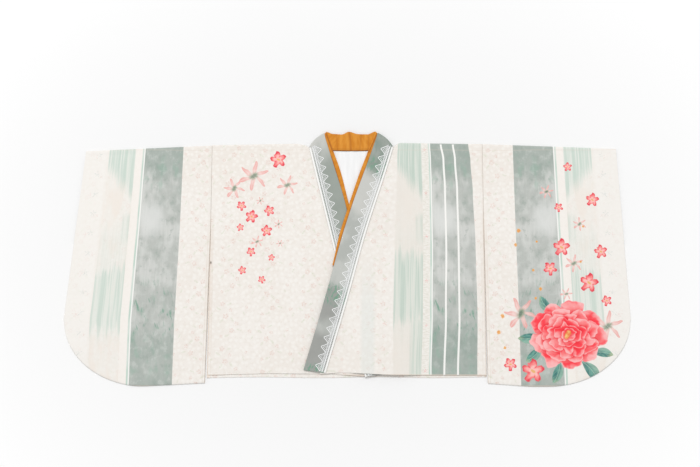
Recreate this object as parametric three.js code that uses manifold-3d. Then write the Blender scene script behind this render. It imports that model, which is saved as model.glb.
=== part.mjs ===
// A hip-length kimono coat laid flat on its back, the left front lapped over the right.
//
// Units are millimetres and +Z is up. The garment is drawn from the middle of its shoulder line:
// +X towards the wearer's left sleeve, +Y past the neck, -Y down to the hem. At the end the whole
// group is moved so that the origin is the middle of its footprint, on the surface it lies on.
// "Left" and "right" are the wearer's. Every cloth piece is a thin closed wall, and pieces that are
// sewn or that lie on each other keep a small gap.

import * as THREE from 'three';
import Module from 'manifold-3d';
import { mergeVertices } from 'three/addons/utils/BufferGeometryUtils.js';

// ---- Driving dimensions -------------------------------------------------------------------------

const CLOTH = 1.2; // wall of the body and sleeve cloth
const SEAM_GAP = 0.3; // between neighbouring pieces
const AIR = 0.4; // between layers that lie on each other

const BODY_HALF = 322; // half the width of the body, side seam to centre
const BACK_LENGTH = 550; // shoulder line to back hem

const NECK = {
  centre: 9.5, // the collar lies a little towards the left shoulder
  half: 97.5, // half its width, between the shoulder folds of the collar
  start: 5, // how far below the shoulder line the neck seam begins
  drop: 8, // and how much lower it runs at the middle of the back
  power: 2.6, // how square the curve is
  notch: 100, // where the shoulder line stops, and how far down it has come there
  notchDown: 4,
  level: 109, // where it is level again
};

// How high the top edge has climbed above the shoulder line at each armhole and by the neck, and
// over how long a stretch it comes down beside the collar.
const CLIMB = {
  right: { armhole: 2, neck: 5.8, fade: 34 },
  left: { armhole: 4.4, neck: 7.4, fade: 16 },
};

const COLLAR_WIDTH = 52; // of a front leg, measured level
const COLLAR_THICK = 1.8;
const COLLAR_EDGE_RISE = 7; // the inner edge ends this much above the seam edge at the hem
const COLLAR_ENDS = { right: 549, left: 540 }; // below the shoulder line
const INNER_THICK = 1.2; // the contrast collar inside it
const INNER_SHOWS = 6; // how far that stands past the collar's edge
const INNER_LENGTH = 284; // shoulder line to the end of the contrast collar
const SEAM_ALLOWANCE = 12; // of the fronts, inside the collar
const ALLOWANCE = { from: 8, full: 32 }; // where it begins, below the shoulder line

const LINING_THICK = 1;
const LINING_END = 200; // below the shoulder line
const LINING_INSET = 3; // from the collar's seams

const SLEEVE_IN = BODY_HALF + SEAM_GAP; // the armhole edge of a sleeve
const SLEEVE_OUT = 661; // the furthest point of a sleeve
const SLEEVE_DEPTH = 571; // shoulder line to the sleeve's bottom fold
const SLEEVE_JOINED = 200; // length sewn to the body, below the shoulder line
const CUFF_OPENING = 235; // of the sleeve's outer edge, from the top
const CORNER = { across: 200, up: 154 }; // the rounded outer bottom corner, an ellipse
const SLEEVE_AIR = 0.8; // the least hollow between a sleeve's two layers
const SLEEVE_PUFF = 1.9; // and how much more it has in the middle
const PUFF_FROM = { side: 90, top: 90, bottom: 120 }; // how far from each edge that takes
const SLEEVE_EDGE = 1.1; // how far a folded edge bulges
const SLEEVE_FOLD = 2; // cloth between a folded edge and the hollow

const RIBBON_WIDTH = 4.8;
const RIBBON_ENDS = [3, -542]; // along Y
const TRIM_THICK = 1; // of ribbon and lace

const LACE = {
  start: 14, // below the shoulder line
  edge: 0.8, // from the collar's seam edge to the lace's straight edge
  band: 13.5, // from the seam edge to the roots of the points
  tip: 26, // and to their tips
  pitch: 22.3, // from one point to the next
  flat: 3.2, // width of a tip
  cord: 2.4, // the zigzag that outlines each point
};

// Each sleeve as it lies: its sign along X, how far its top corner reaches, how high its top edge
// starts at the armhole and how far it droops at that corner, how far its armhole edge has moved
// from the body at the bottom, and how much its bottom fold is drawn up there, which ends at a
// share of its width.
const SLEEVES = [
  {
    name: 'sleeve_right',
    side: -1,
    topReach: 621,
    rise: 0.7,
    droop: 13,
    gapAtBottom: 7,
    drawnUp: 8,
    drawnFor: 0.5,
  },
  {
    name: 'sleeve_left',
    side: 1,
    topReach: 640,
    rise: 4.3,
    droop: 7.3,
    gapAtBottom: 3,
    drawnUp: 7,
    drawnFor: 0.3,
  },
];

// The seam edge of each collar leg on the shoulder line, its slope (X for each mm downwards), how
// far it bows towards the right front, its sign along X, and the corners of the collar's fold over
// the shoulder.
const LEGS = {
  right: {
    side: -1,
    start: -90.5,
    slope: 0.243,
    bow: 0,
    foldSeam: [-88, -5],
    foldEdge: [-54, 28],
    foldTip: [-48, 33.5],
  },
  left: {
    side: 1,
    start: 109.5,
    slope: -0.298,
    bow: 4.2,
    foldSeam: [107, -5],
    foldEdge: [71.5, 29],
    foldTip: [65.5, 34.5],
  },
};

const BOW = { down: 215, reach: 110 }; // where a leg bows most, and over how long a stretch

// How high the cloth that carries each collar leg lies, by the distance below the shoulder line.
const LEG_HEIGHTS = {
  right: [
    { down: 10, z: 3.8 },
    { down: 80, z: 2.9 },
  ],
  left: [
    { down: 5, z: 3.8 },
    { down: 128, z: 8 },
    { down: 385, z: 8 },
    { down: 505, z: 4.5 },
  ],
};

// Hems, by X: how far below the shoulder line each one lies.
const FRONT_RIGHT_HEM = [
  { x: -322, down: 545 },
  { x: -240, down: 542.5 },
  { x: -180, down: 541 },
  { x: -60, down: 542 },
  { x: 60, down: 548 },
];
const FRONT_LEFT_HEM = [
  { x: -60, down: 542 },
  { x: -17, down: 539.5 },
  { x: 120, down: 545 },
  { x: 322, down: 546 },
];

// The top edge of the contrast collar behind the neck, which stands in slack waves.
const NECK_WAVES = [
  { x: -48, up: 33.5, lift: 0 },
  { x: -20, up: 24.5, lift: 0.6 },
  { x: -10, up: 25.5, lift: 1.2 },
  { x: 4, up: 33.5, lift: 2.6 },
  { x: 38, up: 24.5, lift: 0.6 },
  { x: 65.5, up: 34.5, lift: 0 },
];

// The two ribbons on the left front: where each begins on the shoulder line, and its bow.
const RIBBONS = [
  { name: 'ribbon_inner', x: 225.6, bow: 8 },
  { name: 'ribbon_outer', x: 253.8, bow: 9.2 },
];

const FINISH = {
  cloth: { color: 0xf3ece3, roughness: 0.85 },
  collar: { color: 0xb9c1bb, roughness: 0.8 },
  innerCollar: { color: 0xd98a2b, roughness: 0.75 },
  lining: { color: 0xf2f2f2, roughness: 0.7 },
  lace: { color: 0xf6f6f4, roughness: 0.9 },
  ribbon: { color: 0xf4f2ea, roughness: 0.5 },
};

// ---- Small helpers ------------------------------------------------------------------------------

const lerp = THREE.MathUtils.lerp;
const smooth = (t) => THREE.MathUtils.smoothstep(t, 0, 1);
const range = (count) => Array.from({ length: count + 1 }, (_, i) => i / count);

// Reads a table of rows at a place, easing from row to row.
function read(table, key, value, at) {
  const rows = [...table].sort((a, b) => a[key] - b[key]);
  if (at <= rows[0][key]) return rows[0][value];
  for (let i = 1; i < rows.length; i++) {
    const [low, high] = [rows[i - 1], rows[i]];
    if (at <= high[key])
      return lerp(low[value], high[value], smooth((at - low[key]) / (high[key] - low[key])));
  }
  return rows[rows.length - 1][value];
}

// A closed wall between two sheets, each a grid of points with the same rows and columns. The
// rim between them can bulge outwards at mid height, apart from the first column.
function wall(under, over, bulge = 0) {
  const rows = under.length;
  const cols = under[0].length;
  const points = [...under.flat(), ...over.flat()];
  const at = (sheet, row, col) => (sheet * rows + row) * cols + col;
  const faces = [];
  const quad = (a, b, c, d) => faces.push(a, b, c, a, c, d);
  for (let r = 0; r < rows - 1; r++)
    for (let c = 0; c < cols - 1; c++) {
      quad(at(0, r, c), at(0, r + 1, c), at(0, r + 1, c + 1), at(0, r, c + 1));
      quad(at(1, r, c), at(1, r, c + 1), at(1, r + 1, c + 1), at(1, r + 1, c));
    }
  const rim = [];
  for (let c = 0; c < cols - 1; c++) rim.push([0, c]);
  for (let r = 0; r < rows - 1; r++) rim.push([r, cols - 1]);
  for (let c = cols - 1; c > 0; c--) rim.push([rows - 1, c]);
  for (let r = rows - 1; r > 0; r--) rim.push([r, 0]);
  const side = rim.map(([r, c], i) => {
    if (!bulge) return null;
    const [br, bc] = rim[(i + rim.length - 1) % rim.length];
    const [nr, nc] = rim[(i + 1) % rim.length];
    const along = over[nr][nc].clone().sub(over[br][bc]).setZ(0).normalize();
    const out = new THREE.Vector3(along.y, -along.x, 0).multiplyScalar(c ? bulge : 0);
    points.push(under[r][c].clone().add(over[r][c]).multiplyScalar(0.5).sub(out));
    return points.length - 1;
  });
  rim.forEach(([r, c], i) => {
    const j = (i + 1) % rim.length;
    const [nr, nc] = rim[j];
    if (bulge) {
      quad(at(0, r, c), at(0, nr, nc), side[j], side[i]);
      quad(side[i], side[j], at(1, nr, nc), at(1, r, c));
    } else quad(at(0, r, c), at(0, nr, nc), at(1, nr, nc), at(1, r, c));
  });
  return facingOut(points, faces);
}

// A geometry whose faces point out, whichever way its grid ran.
function facingOut(points, faces) {
  let volume = 0;
  for (let i = 0; i < faces.length; i += 3) {
    const [a, b, c] = [points[faces[i]], points[faces[i + 1]], points[faces[i + 2]]];
    volume += a.dot(b.clone().cross(c));
  }
  if (volume < 0) faces.reverse();
  const geometry = new THREE.BufferGeometry().setFromPoints(points);
  geometry.setIndex(faces);
  return geometry;
}

// A wall over a plan grid of [x, y], from a lower height up to an upper one.
function slab(plan, lower, upper, bulge = 0) {
  const sheet = (height) =>
    plan.map((row) => row.map(([x, y]) => new THREE.Vector3(x, y, height(x, y))));
  return wall(sheet(lower), sheet(upper), bulge);
}

// A plan grid whose columns run down from a top edge to a hem. x(across, y) gives a column's place.
function columns(acrossSteps, downSteps, top, hem, x) {
  return downSteps.map((down) =>
    acrossSteps.map((across) => {
      const y = lerp(top(across), hem(across), down);
      return [x(across, y), y];
    }),
  );
}

const wasm = await Module();
wasm.setup();

function solidOf(geometry) {
  const bare = geometry.index ? geometry.toNonIndexed() : geometry.clone();
  bare.deleteAttribute('normal');
  bare.deleteAttribute('uv');
  const merged = mergeVertices(bare, 1e-4);
  return new wasm.Manifold(
    new wasm.Mesh({
      numProp: 3,
      vertProperties: merged.attributes.position.array,
      triVerts: new Uint32Array(merged.index.array),
    }),
  );
}

function geometryOf(solid) {
  const mesh = solid.getMesh();
  const geometry = new THREE.BufferGeometry();
  geometry.setAttribute('position', new THREE.BufferAttribute(mesh.vertProperties, 3));
  geometry.setIndex(new THREE.BufferAttribute(mesh.triVerts, 1));
  return geometry;
}

const kimono = new THREE.Group();

function piece(name, finish, geometry) {
  geometry.computeVertexNormals();
  const material = new THREE.MeshStandardMaterial({ ...FINISH[finish], metalness: 0 });
  const mesh = new THREE.Mesh(geometry, material);
  mesh.name = name;
  kimono.add(mesh);
}

// ---- Lines of the garment -----------------------------------------------------------------------

const bowX = (leg, y) => -leg.bow * Math.exp(-(((-y - BOW.down) / BOW.reach) ** 2));
const seamX = (leg, y) => leg.start - leg.slope * y + bowX(leg, y);
const legZ = (name, y) => read(LEG_HEIGHTS[name], 'down', 'z', -y);

// The neck seam of the back, between the two shoulder folds, and the places where it is drawn.
const NECK_STOPS = range(16).map((t) => NECK.centre + NECK.half * (2 * t - 1));
function neckY(x) {
  const q = Math.min(1, Math.abs(x - NECK.centre) / NECK.half);
  return -NECK.start - NECK.drop * (1 - q ** NECK.power);
}

// The top edge of the fronts, and of the back outside its neck seam: it climbs from each armhole
// towards the neck, and comes down again beside the collar.
function shoulderY(x) {
  const off = Math.abs(x - NECK.centre);
  const { armhole, neck, fade } = CLIMB[x < NECK.centre ? 'right' : 'left'];
  const climb = lerp(neck, armhole, (off - NECK.notch) / (BODY_HALF - NECK.notch));
  const notch = 1 - THREE.MathUtils.smoothstep(off, NECK.notch, NECK.level);
  return climb * smooth((off - NECK.notch) / fade) - NECK.notchDown * notch;
}
function backTopY(x) {
  return Math.abs(x - NECK.centre) > NECK.half ? shoulderY(x) : neckY(x) - SEAM_GAP;
}

// Slow swells of the loose cloth, none at its edges.
function swell(x, y) {
  const wave = Math.sin(x / 71 + y / 190) + Math.sin(y / 83 - x / 160 + 1.3);
  return 0.5 + 0.25 * wave;
}

// ---- Back and its lining ------------------------------------------------------------------------

const FRONT_REST = CLOTH + AIR; // where a front lies on the back

function back() {
  const beside = ({ fade }) => [NECK.notch, NECK.level, NECK.notch + fade];
  const stops = [
    -BODY_HALF,
    ...beside(CLIMB.right)
      .map((off) => NECK.centre - off)
      .reverse(),
    ...NECK_STOPS,
    ...beside(CLIMB.left).map((off) => NECK.centre + off),
    BODY_HALF,
  ];
  const plan = [backTopY, () => -BACK_LENGTH].map((edgeY) => stops.map((x) => [x, edgeY(x)]));
  return slab(
    plan,
    () => 0,
    () => CLOTH,
  );
}

function backLining() {
  const base = CLOTH + SEAM_GAP;
  const left = (y) => seamX(LEGS.right, y) + LINING_INSET;
  const right = (y) => seamX(LEGS.left, y) - LINING_INSET;
  const top = (across) => neckY(lerp(left(-20), right(-20), across)) - SEAM_GAP;
  const plan = columns(
    range(10),
    range(4),
    top,
    () => -LINING_END,
    (across, y) => lerp(left(y), right(y), across),
  );
  return slab(
    plan,
    () => base,
    () => base + LINING_THICK,
  );
}

// ---- Fronts -------------------------------------------------------------------------------------

const SIDE_OPENING = { from: 200, to: 282, inset: 3.5 }; // below the armhole, above the side seam
const FALL = 75; // how far from a collar leg its front takes to come down
const CALM = { leg: 60, side: 50, end: 60 }; // no slow swells this near a leg, a side or an end
const LAP = { margin: 12, rise: 36 }; // from the collar leg under it, where the left front rises

// The side edge of a front, drawn in along the open part under the arm.
function sideX(y) {
  const t = (-y - SIDE_OPENING.from) / (SIDE_OPENING.to - SIDE_OPENING.from);
  const drawn = t > 0 && t < 1 ? Math.sin(Math.PI * t) * SIDE_OPENING.inset : 0;
  return BODY_HALF - drawn;
}

// A front's edge inside the collar: no allowance at the shoulder fold, all of it further down.
function allowance(y) {
  return SEAM_ALLOWANCE * smooth((-y - ALLOWANCE.from) / (ALLOWANCE.full - ALLOWANCE.from));
}

const calmAtEnds = (y) => smooth(-y / CALM.end) * smooth((y + BACK_LENGTH) / CALM.end);

// Height of the right front's underside.
function rightRest(x, y) {
  const off = seamX(LEGS.right, y) - x;
  const fall = 1 - smooth(off / FALL);
  const calm = smooth((off - FALL) / CALM.leg) * smooth((x + BODY_HALF) / CALM.side);
  return lerp(FRONT_REST, legZ('right', y), fall) + swell(x, y) * calm * calmAtEnds(y);
}

// Height of the left front's underside: it lies on the right collar leg where it laps over it.
function leftRest(x, y) {
  const off = x - seamX(LEGS.left, y);
  const own = lerp(FRONT_REST, legZ('left', y), 1 - smooth(off / FALL));
  const legLow = seamX(LEGS.right, y);
  const legHigh = legLow + COLLAR_WIDTH + INNER_SHOWS;
  const lift = LEG_HEIGHTS.left[1].z;
  const beyond = 1 - smooth((x - legHigh - LAP.margin) / FALL);
  const before = smooth((x - legLow + LAP.margin + LAP.rise) / LAP.rise);
  const lapped = off < 0 ? own : lerp(FRONT_REST, lift, Math.min(beyond, before));
  const onRight = x < legLow + SEAM_ALLOWANCE ? rightRest(x, y) + CLOTH + AIR : FRONT_REST;
  const fromLap = smooth((x - legHigh - LAP.margin - FALL) / CALM.leg);
  const calm = fromLap * smooth((off - FALL) / CALM.leg) * smooth((BODY_HALF - x) / CALM.side);
  return Math.max(own, lapped, onRight) + swell(x, y) * calm * calmAtEnds(y);
}

const DOWN_STEPS = [0, 0.02, 0.06, ...range(20).filter((t) => t >= 0.1)];

function front(name) {
  const leg = LEGS[name];
  const isLeft = name === 'left';
  const rest = isLeft ? leftRest : rightRest;
  const hem = isLeft ? FRONT_LEFT_HEM : FRONT_RIGHT_HEM;
  const inner = (y) => seamX(leg, y) - leg.side * allowance(y);
  const outer = (y) => leg.side * sideX(y);
  const place = (across, y) => lerp(inner(y), outer(y), across);
  const fine = [0, 0.03, 0.07, 0.12, 0.17, 0.22, 0.28, 0.34, 0.4, 0.48, 0.56, 0.65, 0.75, 0.86, 1];
  const coarse = [0, 0.04, 0.1, 0.16, 0.22, 0.3, 0.42, 0.55, 0.7, 0.85, 1];
  const plan = columns(
    isLeft ? fine : coarse,
    DOWN_STEPS,
    (across) => shoulderY(place(across, 0)),
    (across) => -read(hem, 'x', 'down', place(across, -BACK_LENGTH)),
    place,
  );
  return slab(plan, rest, (x, y) => rest(x, y) + CLOTH);
}

// ---- Sleeves ------------------------------------------------------------------------------------

// The armhole edge and the outer edge of a sleeve, as distances from the middle of the body.
function sleeveIn(sleeve, y) {
  const below = Math.max(0, -y - SLEEVE_JOINED) / (SLEEVE_DEPTH - SLEEVE_JOINED);
  return SLEEVE_IN + sleeve.gapAtBottom * below;
}
function sleeveOut(sleeve, y) {
  const cornerTop = SLEEVE_DEPTH - CORNER.up;
  return lerp(sleeve.topReach, SLEEVE_OUT, Math.min(1, -y / cornerTop));
}

// A sleeve's plan, drawn in by an inset. Open edges run past the sleeve instead, to cut the hollow.
function sleevePlan(sleeve, inset, open) {
  const width = SLEEVE_OUT - SLEEVE_IN;
  const corner = { across: CORNER.across - inset, up: CORNER.up - inset };
  const turn = 1 - CORNER.across / width;
  const across = [
    ...range(5).map((t) => t * turn),
    ...range(9)
      .slice(1)
      .map((t) => turn + (1 - turn) * Math.sin((t * Math.PI) / 2)),
  ];
  const lip = 0.004;
  const cuffEnds = CUFF_OPENING / (SLEEVE_DEPTH - CORNER.up);
  const down = [0, 0.1, 0.2, 0.3, 0.4, 0.5, cuffEnds - lip, cuffEnds + lip, 0.68, 0.78, 0.89, 1];
  const hem = (s) => {
    const past = Math.max(0, (s - turn) / (1 - turn));
    const depth = SLEEVE_DEPTH - CORNER.up + corner.up * Math.sqrt(Math.max(0, 1 - past ** 2));
    return sleeve.drawnUp * Math.max(0, 1 - s / sleeve.drawnFor) - depth;
  };
  return columns(
    across,
    down,
    (s) => lerp(sleeve.rise, -sleeve.droop, s) - inset,
    (s) => hem(s),
    (s, y) => {
      const inner = sleeveIn(sleeve, y) - (open ? inset : 0);
      const cuff = open && -y < CUFF_OPENING ? inset : -inset;
      return sleeve.side * lerp(inner, sleeveOut(sleeve, y) + cuff, s);
    },
  );
}

// The hollow between a sleeve's layers is deepest in the middle.
function sleevePuff(sleeve, x, y) {
  const reach = Math.abs(x);
  const inner = smooth((reach - SLEEVE_IN) / PUFF_FROM.side);
  const outer = smooth((sleeveOut(sleeve, y) - reach) / PUFF_FROM.side);
  const ends = smooth(-y / PUFF_FROM.top) * smooth((y + SLEEVE_DEPTH) / PUFF_FROM.bottom);
  return SLEEVE_PUFF * inner * outer * ends * swell(x, y);
}

function sleeve(row) {
  const hollow = (x, y) => SLEEVE_AIR + sleevePuff(row, x, y);
  const body = slab(
    sleevePlan(row, SLEEVE_EDGE, false),
    () => 0,
    (x, y) => 2 * CLOTH + hollow(x, y),
    SLEEVE_EDGE,
  );
  const inside = slab(
    sleevePlan(row, SLEEVE_FOLD + SLEEVE_EDGE, true),
    () => CLOTH,
    (x, y) => CLOTH + hollow(x, y),
  );
  return geometryOf(solidOf(body).subtract(solidOf(inside)));
}

// ---- Collar -------------------------------------------------------------------------------------

// The collar and the contrast collar are bands that run down each front and fold over at the
// shoulders, so that behind the neck they show their inner side. Each band is a row of stations:
// its seam edge, its free edge, and the direction from its middle to its outer face.
const FOLD_CENTRE_Z = 3.55; // height of the fold's axis
const COLLAR_FOLD = 2.65; // radius of the collar's fold, to the middle of the cloth
const INNER_FOLD = 0.85;
const FOLD_TURNS = 8;
const LEG_STATIONS = 24;

const UP = new THREE.Vector3(0, 0, 1);

// A band's leg, from the hem or its end up to the shoulder fold. `from` moves its seam edge in
// under the collar, and `past` moves its free edge out.
function legStations(name, { end, from, past, above, tip }) {
  const leg = LEGS[name];
  const inward = -leg.side;
  return range(LEG_STATIONS)
    .slice(0, -1)
    .map((t) => {
      const k = 1 - t;
      const seam = lerp(leg.foldSeam[1], -end, k);
      const free = lerp(tip[1], -end + COLLAR_EDGE_RISE, k);
      const seamAt = seamX(leg, seam) + inward * from(seam);
      const legEdge = seamX(leg, free) + inward * (COLLAR_WIDTH + past);
      const narrowed = tip[0] - (seamX(leg, tip[1]) + inward * (COLLAR_WIDTH + past));
      const freeAt = legEdge + narrowed * (1 - smooth(k / 0.3));
      return {
        seam: new THREE.Vector3(seamAt, seam, legZ(name, seam) + above),
        free: new THREE.Vector3(freeAt, free, legZ(name, free) + above),
        out: UP,
      };
    });
}

// The turn over a shoulder, about the fold line, from the leg's side round to the floor's.
function foldStations(name, tip, radius) {
  const leg = LEGS[name];
  const a = new THREE.Vector3(...leg.foldSeam, FOLD_CENTRE_Z);
  const b = new THREE.Vector3(...tip, FOLD_CENTRE_Z);
  const along = b.clone().sub(a).normalize();
  const outward = new THREE.Vector3(along.y, -along.x, 0).multiplyScalar(leg.side);
  return range(FOLD_TURNS).map((t) => {
    const angle = Math.PI * t;
    const out = UP.clone()
      .multiplyScalar(Math.cos(angle))
      .addScaledVector(outward, Math.sin(angle));
    return {
      seam: a.clone().addScaledVector(out, radius),
      free: b.clone().addScaledVector(out, radius),
      out,
    };
  });
}

// The stretch behind the neck, from the right shoulder to the left.
function neckStations(under, drawnIn, z) {
  const [start, end] = [LEGS.right, LEGS.left];
  const waves = NECK_WAVES;
  const first = under ? start.foldEdge[0] : waves[0].x;
  const last = under ? end.foldEdge[0] : waves[waves.length - 1].x;
  return NECK_STOPS.slice(1, -1).map((x) => {
    const freeX = lerp(first, last, (x - NECK_STOPS[0]) / (2 * NECK.half));
    const up = read(waves, 'x', 'up', freeX) - drawnIn;
    const lift = read(waves, 'x', 'lift', freeX);
    return {
      seam: new THREE.Vector3(x, neckY(x), z),
      free: new THREE.Vector3(freeX, up, z + lift),
      out: UP.clone().negate(),
    };
  });
}

function band(stations, thick, across) {
  const sheet = (side) =>
    stations.map(({ seam, free, out }) =>
      range(across).map((t) =>
        seam
          .clone()
          .lerp(free, t)
          .addScaledVector(out, (side * thick) / 2),
      ),
    );
  return wall(sheet(-1), sheet(1));
}

function collar() {
  const above = CLOTH + SEAM_GAP + COLLAR_THICK / 2;
  const leg = (name) =>
    legStations(name, {
      end: COLLAR_ENDS[name],
      from: () => 0,
      past: 0,
      above,
      tip: LEGS[name].foldEdge,
    });
  const fold = (name) => foldStations(name, LEGS[name].foldEdge, COLLAR_FOLD);
  const stations = [
    ...leg('right'),
    ...fold('right'),
    ...neckStations(true, INNER_SHOWS, COLLAR_THICK / 2),
    ...fold('left').reverse(),
    ...leg('left').reverse(),
  ];
  return band(stations, COLLAR_THICK, 4);
}

function innerCollar() {
  const above = INNER_THICK / 2;
  const from = (y) => allowance(y) + 2 * smooth((LEGS.right.foldSeam[1] - y) / 8);
  const leg = (name) =>
    legStations(name, {
      end: INNER_LENGTH,
      from,
      past: INNER_SHOWS,
      above,
      tip: LEGS[name].foldTip,
    });
  const fold = (name) => foldStations(name, LEGS[name].foldTip, INNER_FOLD);
  const stations = [
    ...leg('right'),
    ...fold('right'),
    ...neckStations(false, 0, COLLAR_THICK + AIR + INNER_THICK / 2),
    ...fold('left').reverse(),
    ...leg('left').reverse(),
  ];
  return band(stations, INNER_THICK, 2);
}

// ---- Lace ---------------------------------------------------------------------------------------

// One repeat of the lace as flat patches: the straight band, and a pointed loop round its gap.
function laceRepeat(start, pitch) {
  const middle = start + pitch / 2;
  const half = pitch / 2 - LACE.cord * 1.5;
  const edge = [start, start + pitch].map((u) => [u, LACE.edge]);
  const root = [start, middle - half, middle + half, start + pitch].map((u) => [u, LACE.band]);
  const tip = [-1, 1].map((end) => [middle + (end * LACE.flat) / 2, LACE.tip]);
  const gap = [middle, LACE.tip - LACE.cord * 1.2];
  return [
    [edge[0], edge[1], root[3], root[2]],
    [edge[0], root[2], root[1], root[0]],
    [root[0], root[1], gap, tip[0]],
    [root[2], root[3], tip[1], gap],
    [tip[0], gap, tip[1]],
  ];
}

// Flat patches that share their corners, made into one plate by a function that places each point
// on its lower or upper side.
function plate(patches, place) {
  const corners = new Map();
  const points = [];
  const index = ([u, v]) => {
    const key = `${u.toFixed(3)},${v.toFixed(3)}`;
    if (!corners.has(key)) {
      corners.set(key, points.length);
      points.push(place(u, v, 0), place(u, v, 1));
    }
    return corners.get(key);
  };
  const faces = [];
  const edges = new Map();
  for (const patch of patches) {
    const ring = patch.map(index);
    for (let i = 1; i < ring.length - 1; i++) {
      faces.push(ring[0], ring[i + 1], ring[i]);
      faces.push(ring[0] + 1, ring[i] + 1, ring[i + 1] + 1);
    }
    ring.forEach((from, i) => {
      const to = ring[(i + 1) % ring.length];
      if (!edges.delete(`${to}>${from}`)) edges.set(`${from}>${to}`, [from, to]);
    });
  }
  for (const [from, to] of edges.values()) faces.push(from, to, to + 1, from, to + 1, from + 1);
  return facingOut(points, faces);
}

// A strip of lace along a collar leg. It is drawn flat, its length as u and the distance from the
// collar's seam edge as v, and laid on the collar.
function lace(name) {
  const leg = LEGS[name];
  const [startDown, endDown] = [LACE.start, COLLAR_ENDS[name]];
  const along = new THREE.Vector2(leg.slope, -1).normalize();
  const inward = new THREE.Vector2(along.y, -along.x).multiplyScalar(leg.side);
  const length = (endDown - startDown) / -along.y;
  const count = Math.round(length / LACE.pitch);
  const pitch = length / count;
  const base = CLOTH + SEAM_GAP + COLLAR_THICK + AIR;
  const patches = range(count)
    .slice(0, -1)
    .flatMap((t) => laceRepeat(t * length, pitch));
  return plate(patches, (u, v, side) => {
    const y = -startDown + along.y * u + inward.y * v;
    const x = leg.start + leg.slope * startDown + along.x * u + inward.x * v + bowX(leg, y);
    return new THREE.Vector3(x, y, legZ(name, y) + base + side * TRIM_THICK);
  });
}

// ---- Ribbons ------------------------------------------------------------------------------------

// A narrow ribbon sewn down the left front, bowed a little towards the side.
function ribbon({ x, bow }) {
  const plan = range(30).map((t) => {
    const y = lerp(...RIBBON_ENDS, t);
    const middle = x + bow * 4 * t * (1 - t);
    return [-0.5, 0.5].map((side) => [middle + side * RIBBON_WIDTH, y]);
  });
  const rest = (px, py) => leftRest(px, py) + CLOTH + SEAM_GAP;
  return slab(plan, rest, (px, py) => rest(px, py) + TRIM_THICK);
}

// ---- The coat -----------------------------------------------------------------------------------

piece('back', 'cloth', back());
piece('back_lining', 'lining', backLining());
piece('front_right', 'cloth', front('right'));
piece('front_left', 'cloth', front('left'));
SLEEVES.forEach((row) => piece(row.name, 'cloth', sleeve(row)));
piece('collar', 'collar', collar());
piece('inner_collar', 'innerCollar', innerCollar());
piece('lace_right', 'lace', lace('right'));
piece('lace_left', 'lace', lace('left'));
RIBBONS.forEach((row) => piece(row.name, 'ribbon', ribbon(row)));

const box = new THREE.Box3().setFromObject(kimono);
const middle = box.getCenter(new THREE.Vector3());
kimono.position.set(-middle.x, -middle.y, -box.min.z);

export default kimono;
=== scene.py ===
"""The looks of a kimono coat that lies flat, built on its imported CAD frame.

Shapes are drawn in millimetres from the middle of the shoulder line: x towards the wearer's left
sleeve, y past the neck, z up. place() turns them into metres in the row's frame. Left and right are
the wearer's.
"""

import math
from functools import partialmethod, reduce

import bpy
import numpy as np
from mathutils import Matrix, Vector


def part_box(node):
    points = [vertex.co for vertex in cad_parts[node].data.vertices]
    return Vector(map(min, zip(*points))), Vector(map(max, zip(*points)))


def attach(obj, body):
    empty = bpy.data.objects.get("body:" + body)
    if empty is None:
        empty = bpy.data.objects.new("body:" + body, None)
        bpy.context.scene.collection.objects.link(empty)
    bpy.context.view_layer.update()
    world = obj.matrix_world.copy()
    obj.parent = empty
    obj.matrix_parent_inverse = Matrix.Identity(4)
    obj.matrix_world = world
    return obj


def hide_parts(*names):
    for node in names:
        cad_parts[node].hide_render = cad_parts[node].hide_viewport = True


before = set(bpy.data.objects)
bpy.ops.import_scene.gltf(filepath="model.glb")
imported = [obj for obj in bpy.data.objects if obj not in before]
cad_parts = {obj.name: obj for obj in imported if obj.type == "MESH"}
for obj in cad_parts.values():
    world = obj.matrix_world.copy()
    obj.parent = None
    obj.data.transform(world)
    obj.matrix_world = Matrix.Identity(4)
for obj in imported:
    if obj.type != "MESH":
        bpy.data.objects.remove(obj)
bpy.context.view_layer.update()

# ---- The garment's sizes, in mm -----------------------------------------------------------------

BODY_HALF = 322
BACK_LENGTH = 550
WALL = 1.2
AIR, SEAM_GAP = 0.4, 0.3  # between layers, and between neighbouring pieces
CLOTH = 0.6  # what the eye sees as the cloth's thickness
ALLOWANCE, ALLOWANCE_FROM, ALLOWANCE_FULL = 12, 8, 32  # how wide, and where down it starts
FALL = 75  # over how much the cloth comes down beside a collar leg
LAP_HIGH, LAP_CLEAR = 8.0, 12  # of the left front over the right leg, and how far past it
SIDE_OPEN = (200, 282, 0.5)  # where a side seam draws in: from, to, how far

NECK_CENTRE, NECK_HALF, NECK_START, NECK_DROP, NECK_POWER = 9.5, 97.5, 5, 8, 2.6
NOTCH, NOTCH_DOWN, NOTCH_LEVEL = 100, 4, 109
CLIMB = {"right": (2, 5.8, 34), "left": (4.4, 7.4, 16)}  # at the armhole, by the neck, fade

COLLAR_WIDTH, COLLAR_THICK, EDGE_RISE = 52, 1.8, 7
COLLAR_ENDS = {"right": 549, "left": 540}
INNER_THICK, INNER_SHOWS, INNER_LENGTH = 1.2, 6, 296
INNER_SPREADS = [(20, 0), (90, 2.2), (196, 2.0), (292, -2.2)]  # how far down, how much more shows
FOLD_Z, COLLAR_FOLD, INNER_FOLD = 3.55, 2.65, 0.85
LACE_PITCH, LACE_LIFT = 22.3, 0.22  # from point to point, and how far it lies above the collar

SLEEVE_IN = BODY_HALF + SEAM_GAP
SLEEVE_OUT, SLEEVE_DEPTH, SLEEVE_JOINED, CUFF = 661, 571, 200, 235
CORNER_ACROSS, CORNER_UP = 200, 154
SLEEVE_HIGH = 3.2  # top of a sleeve's upper layer at its edges

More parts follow.
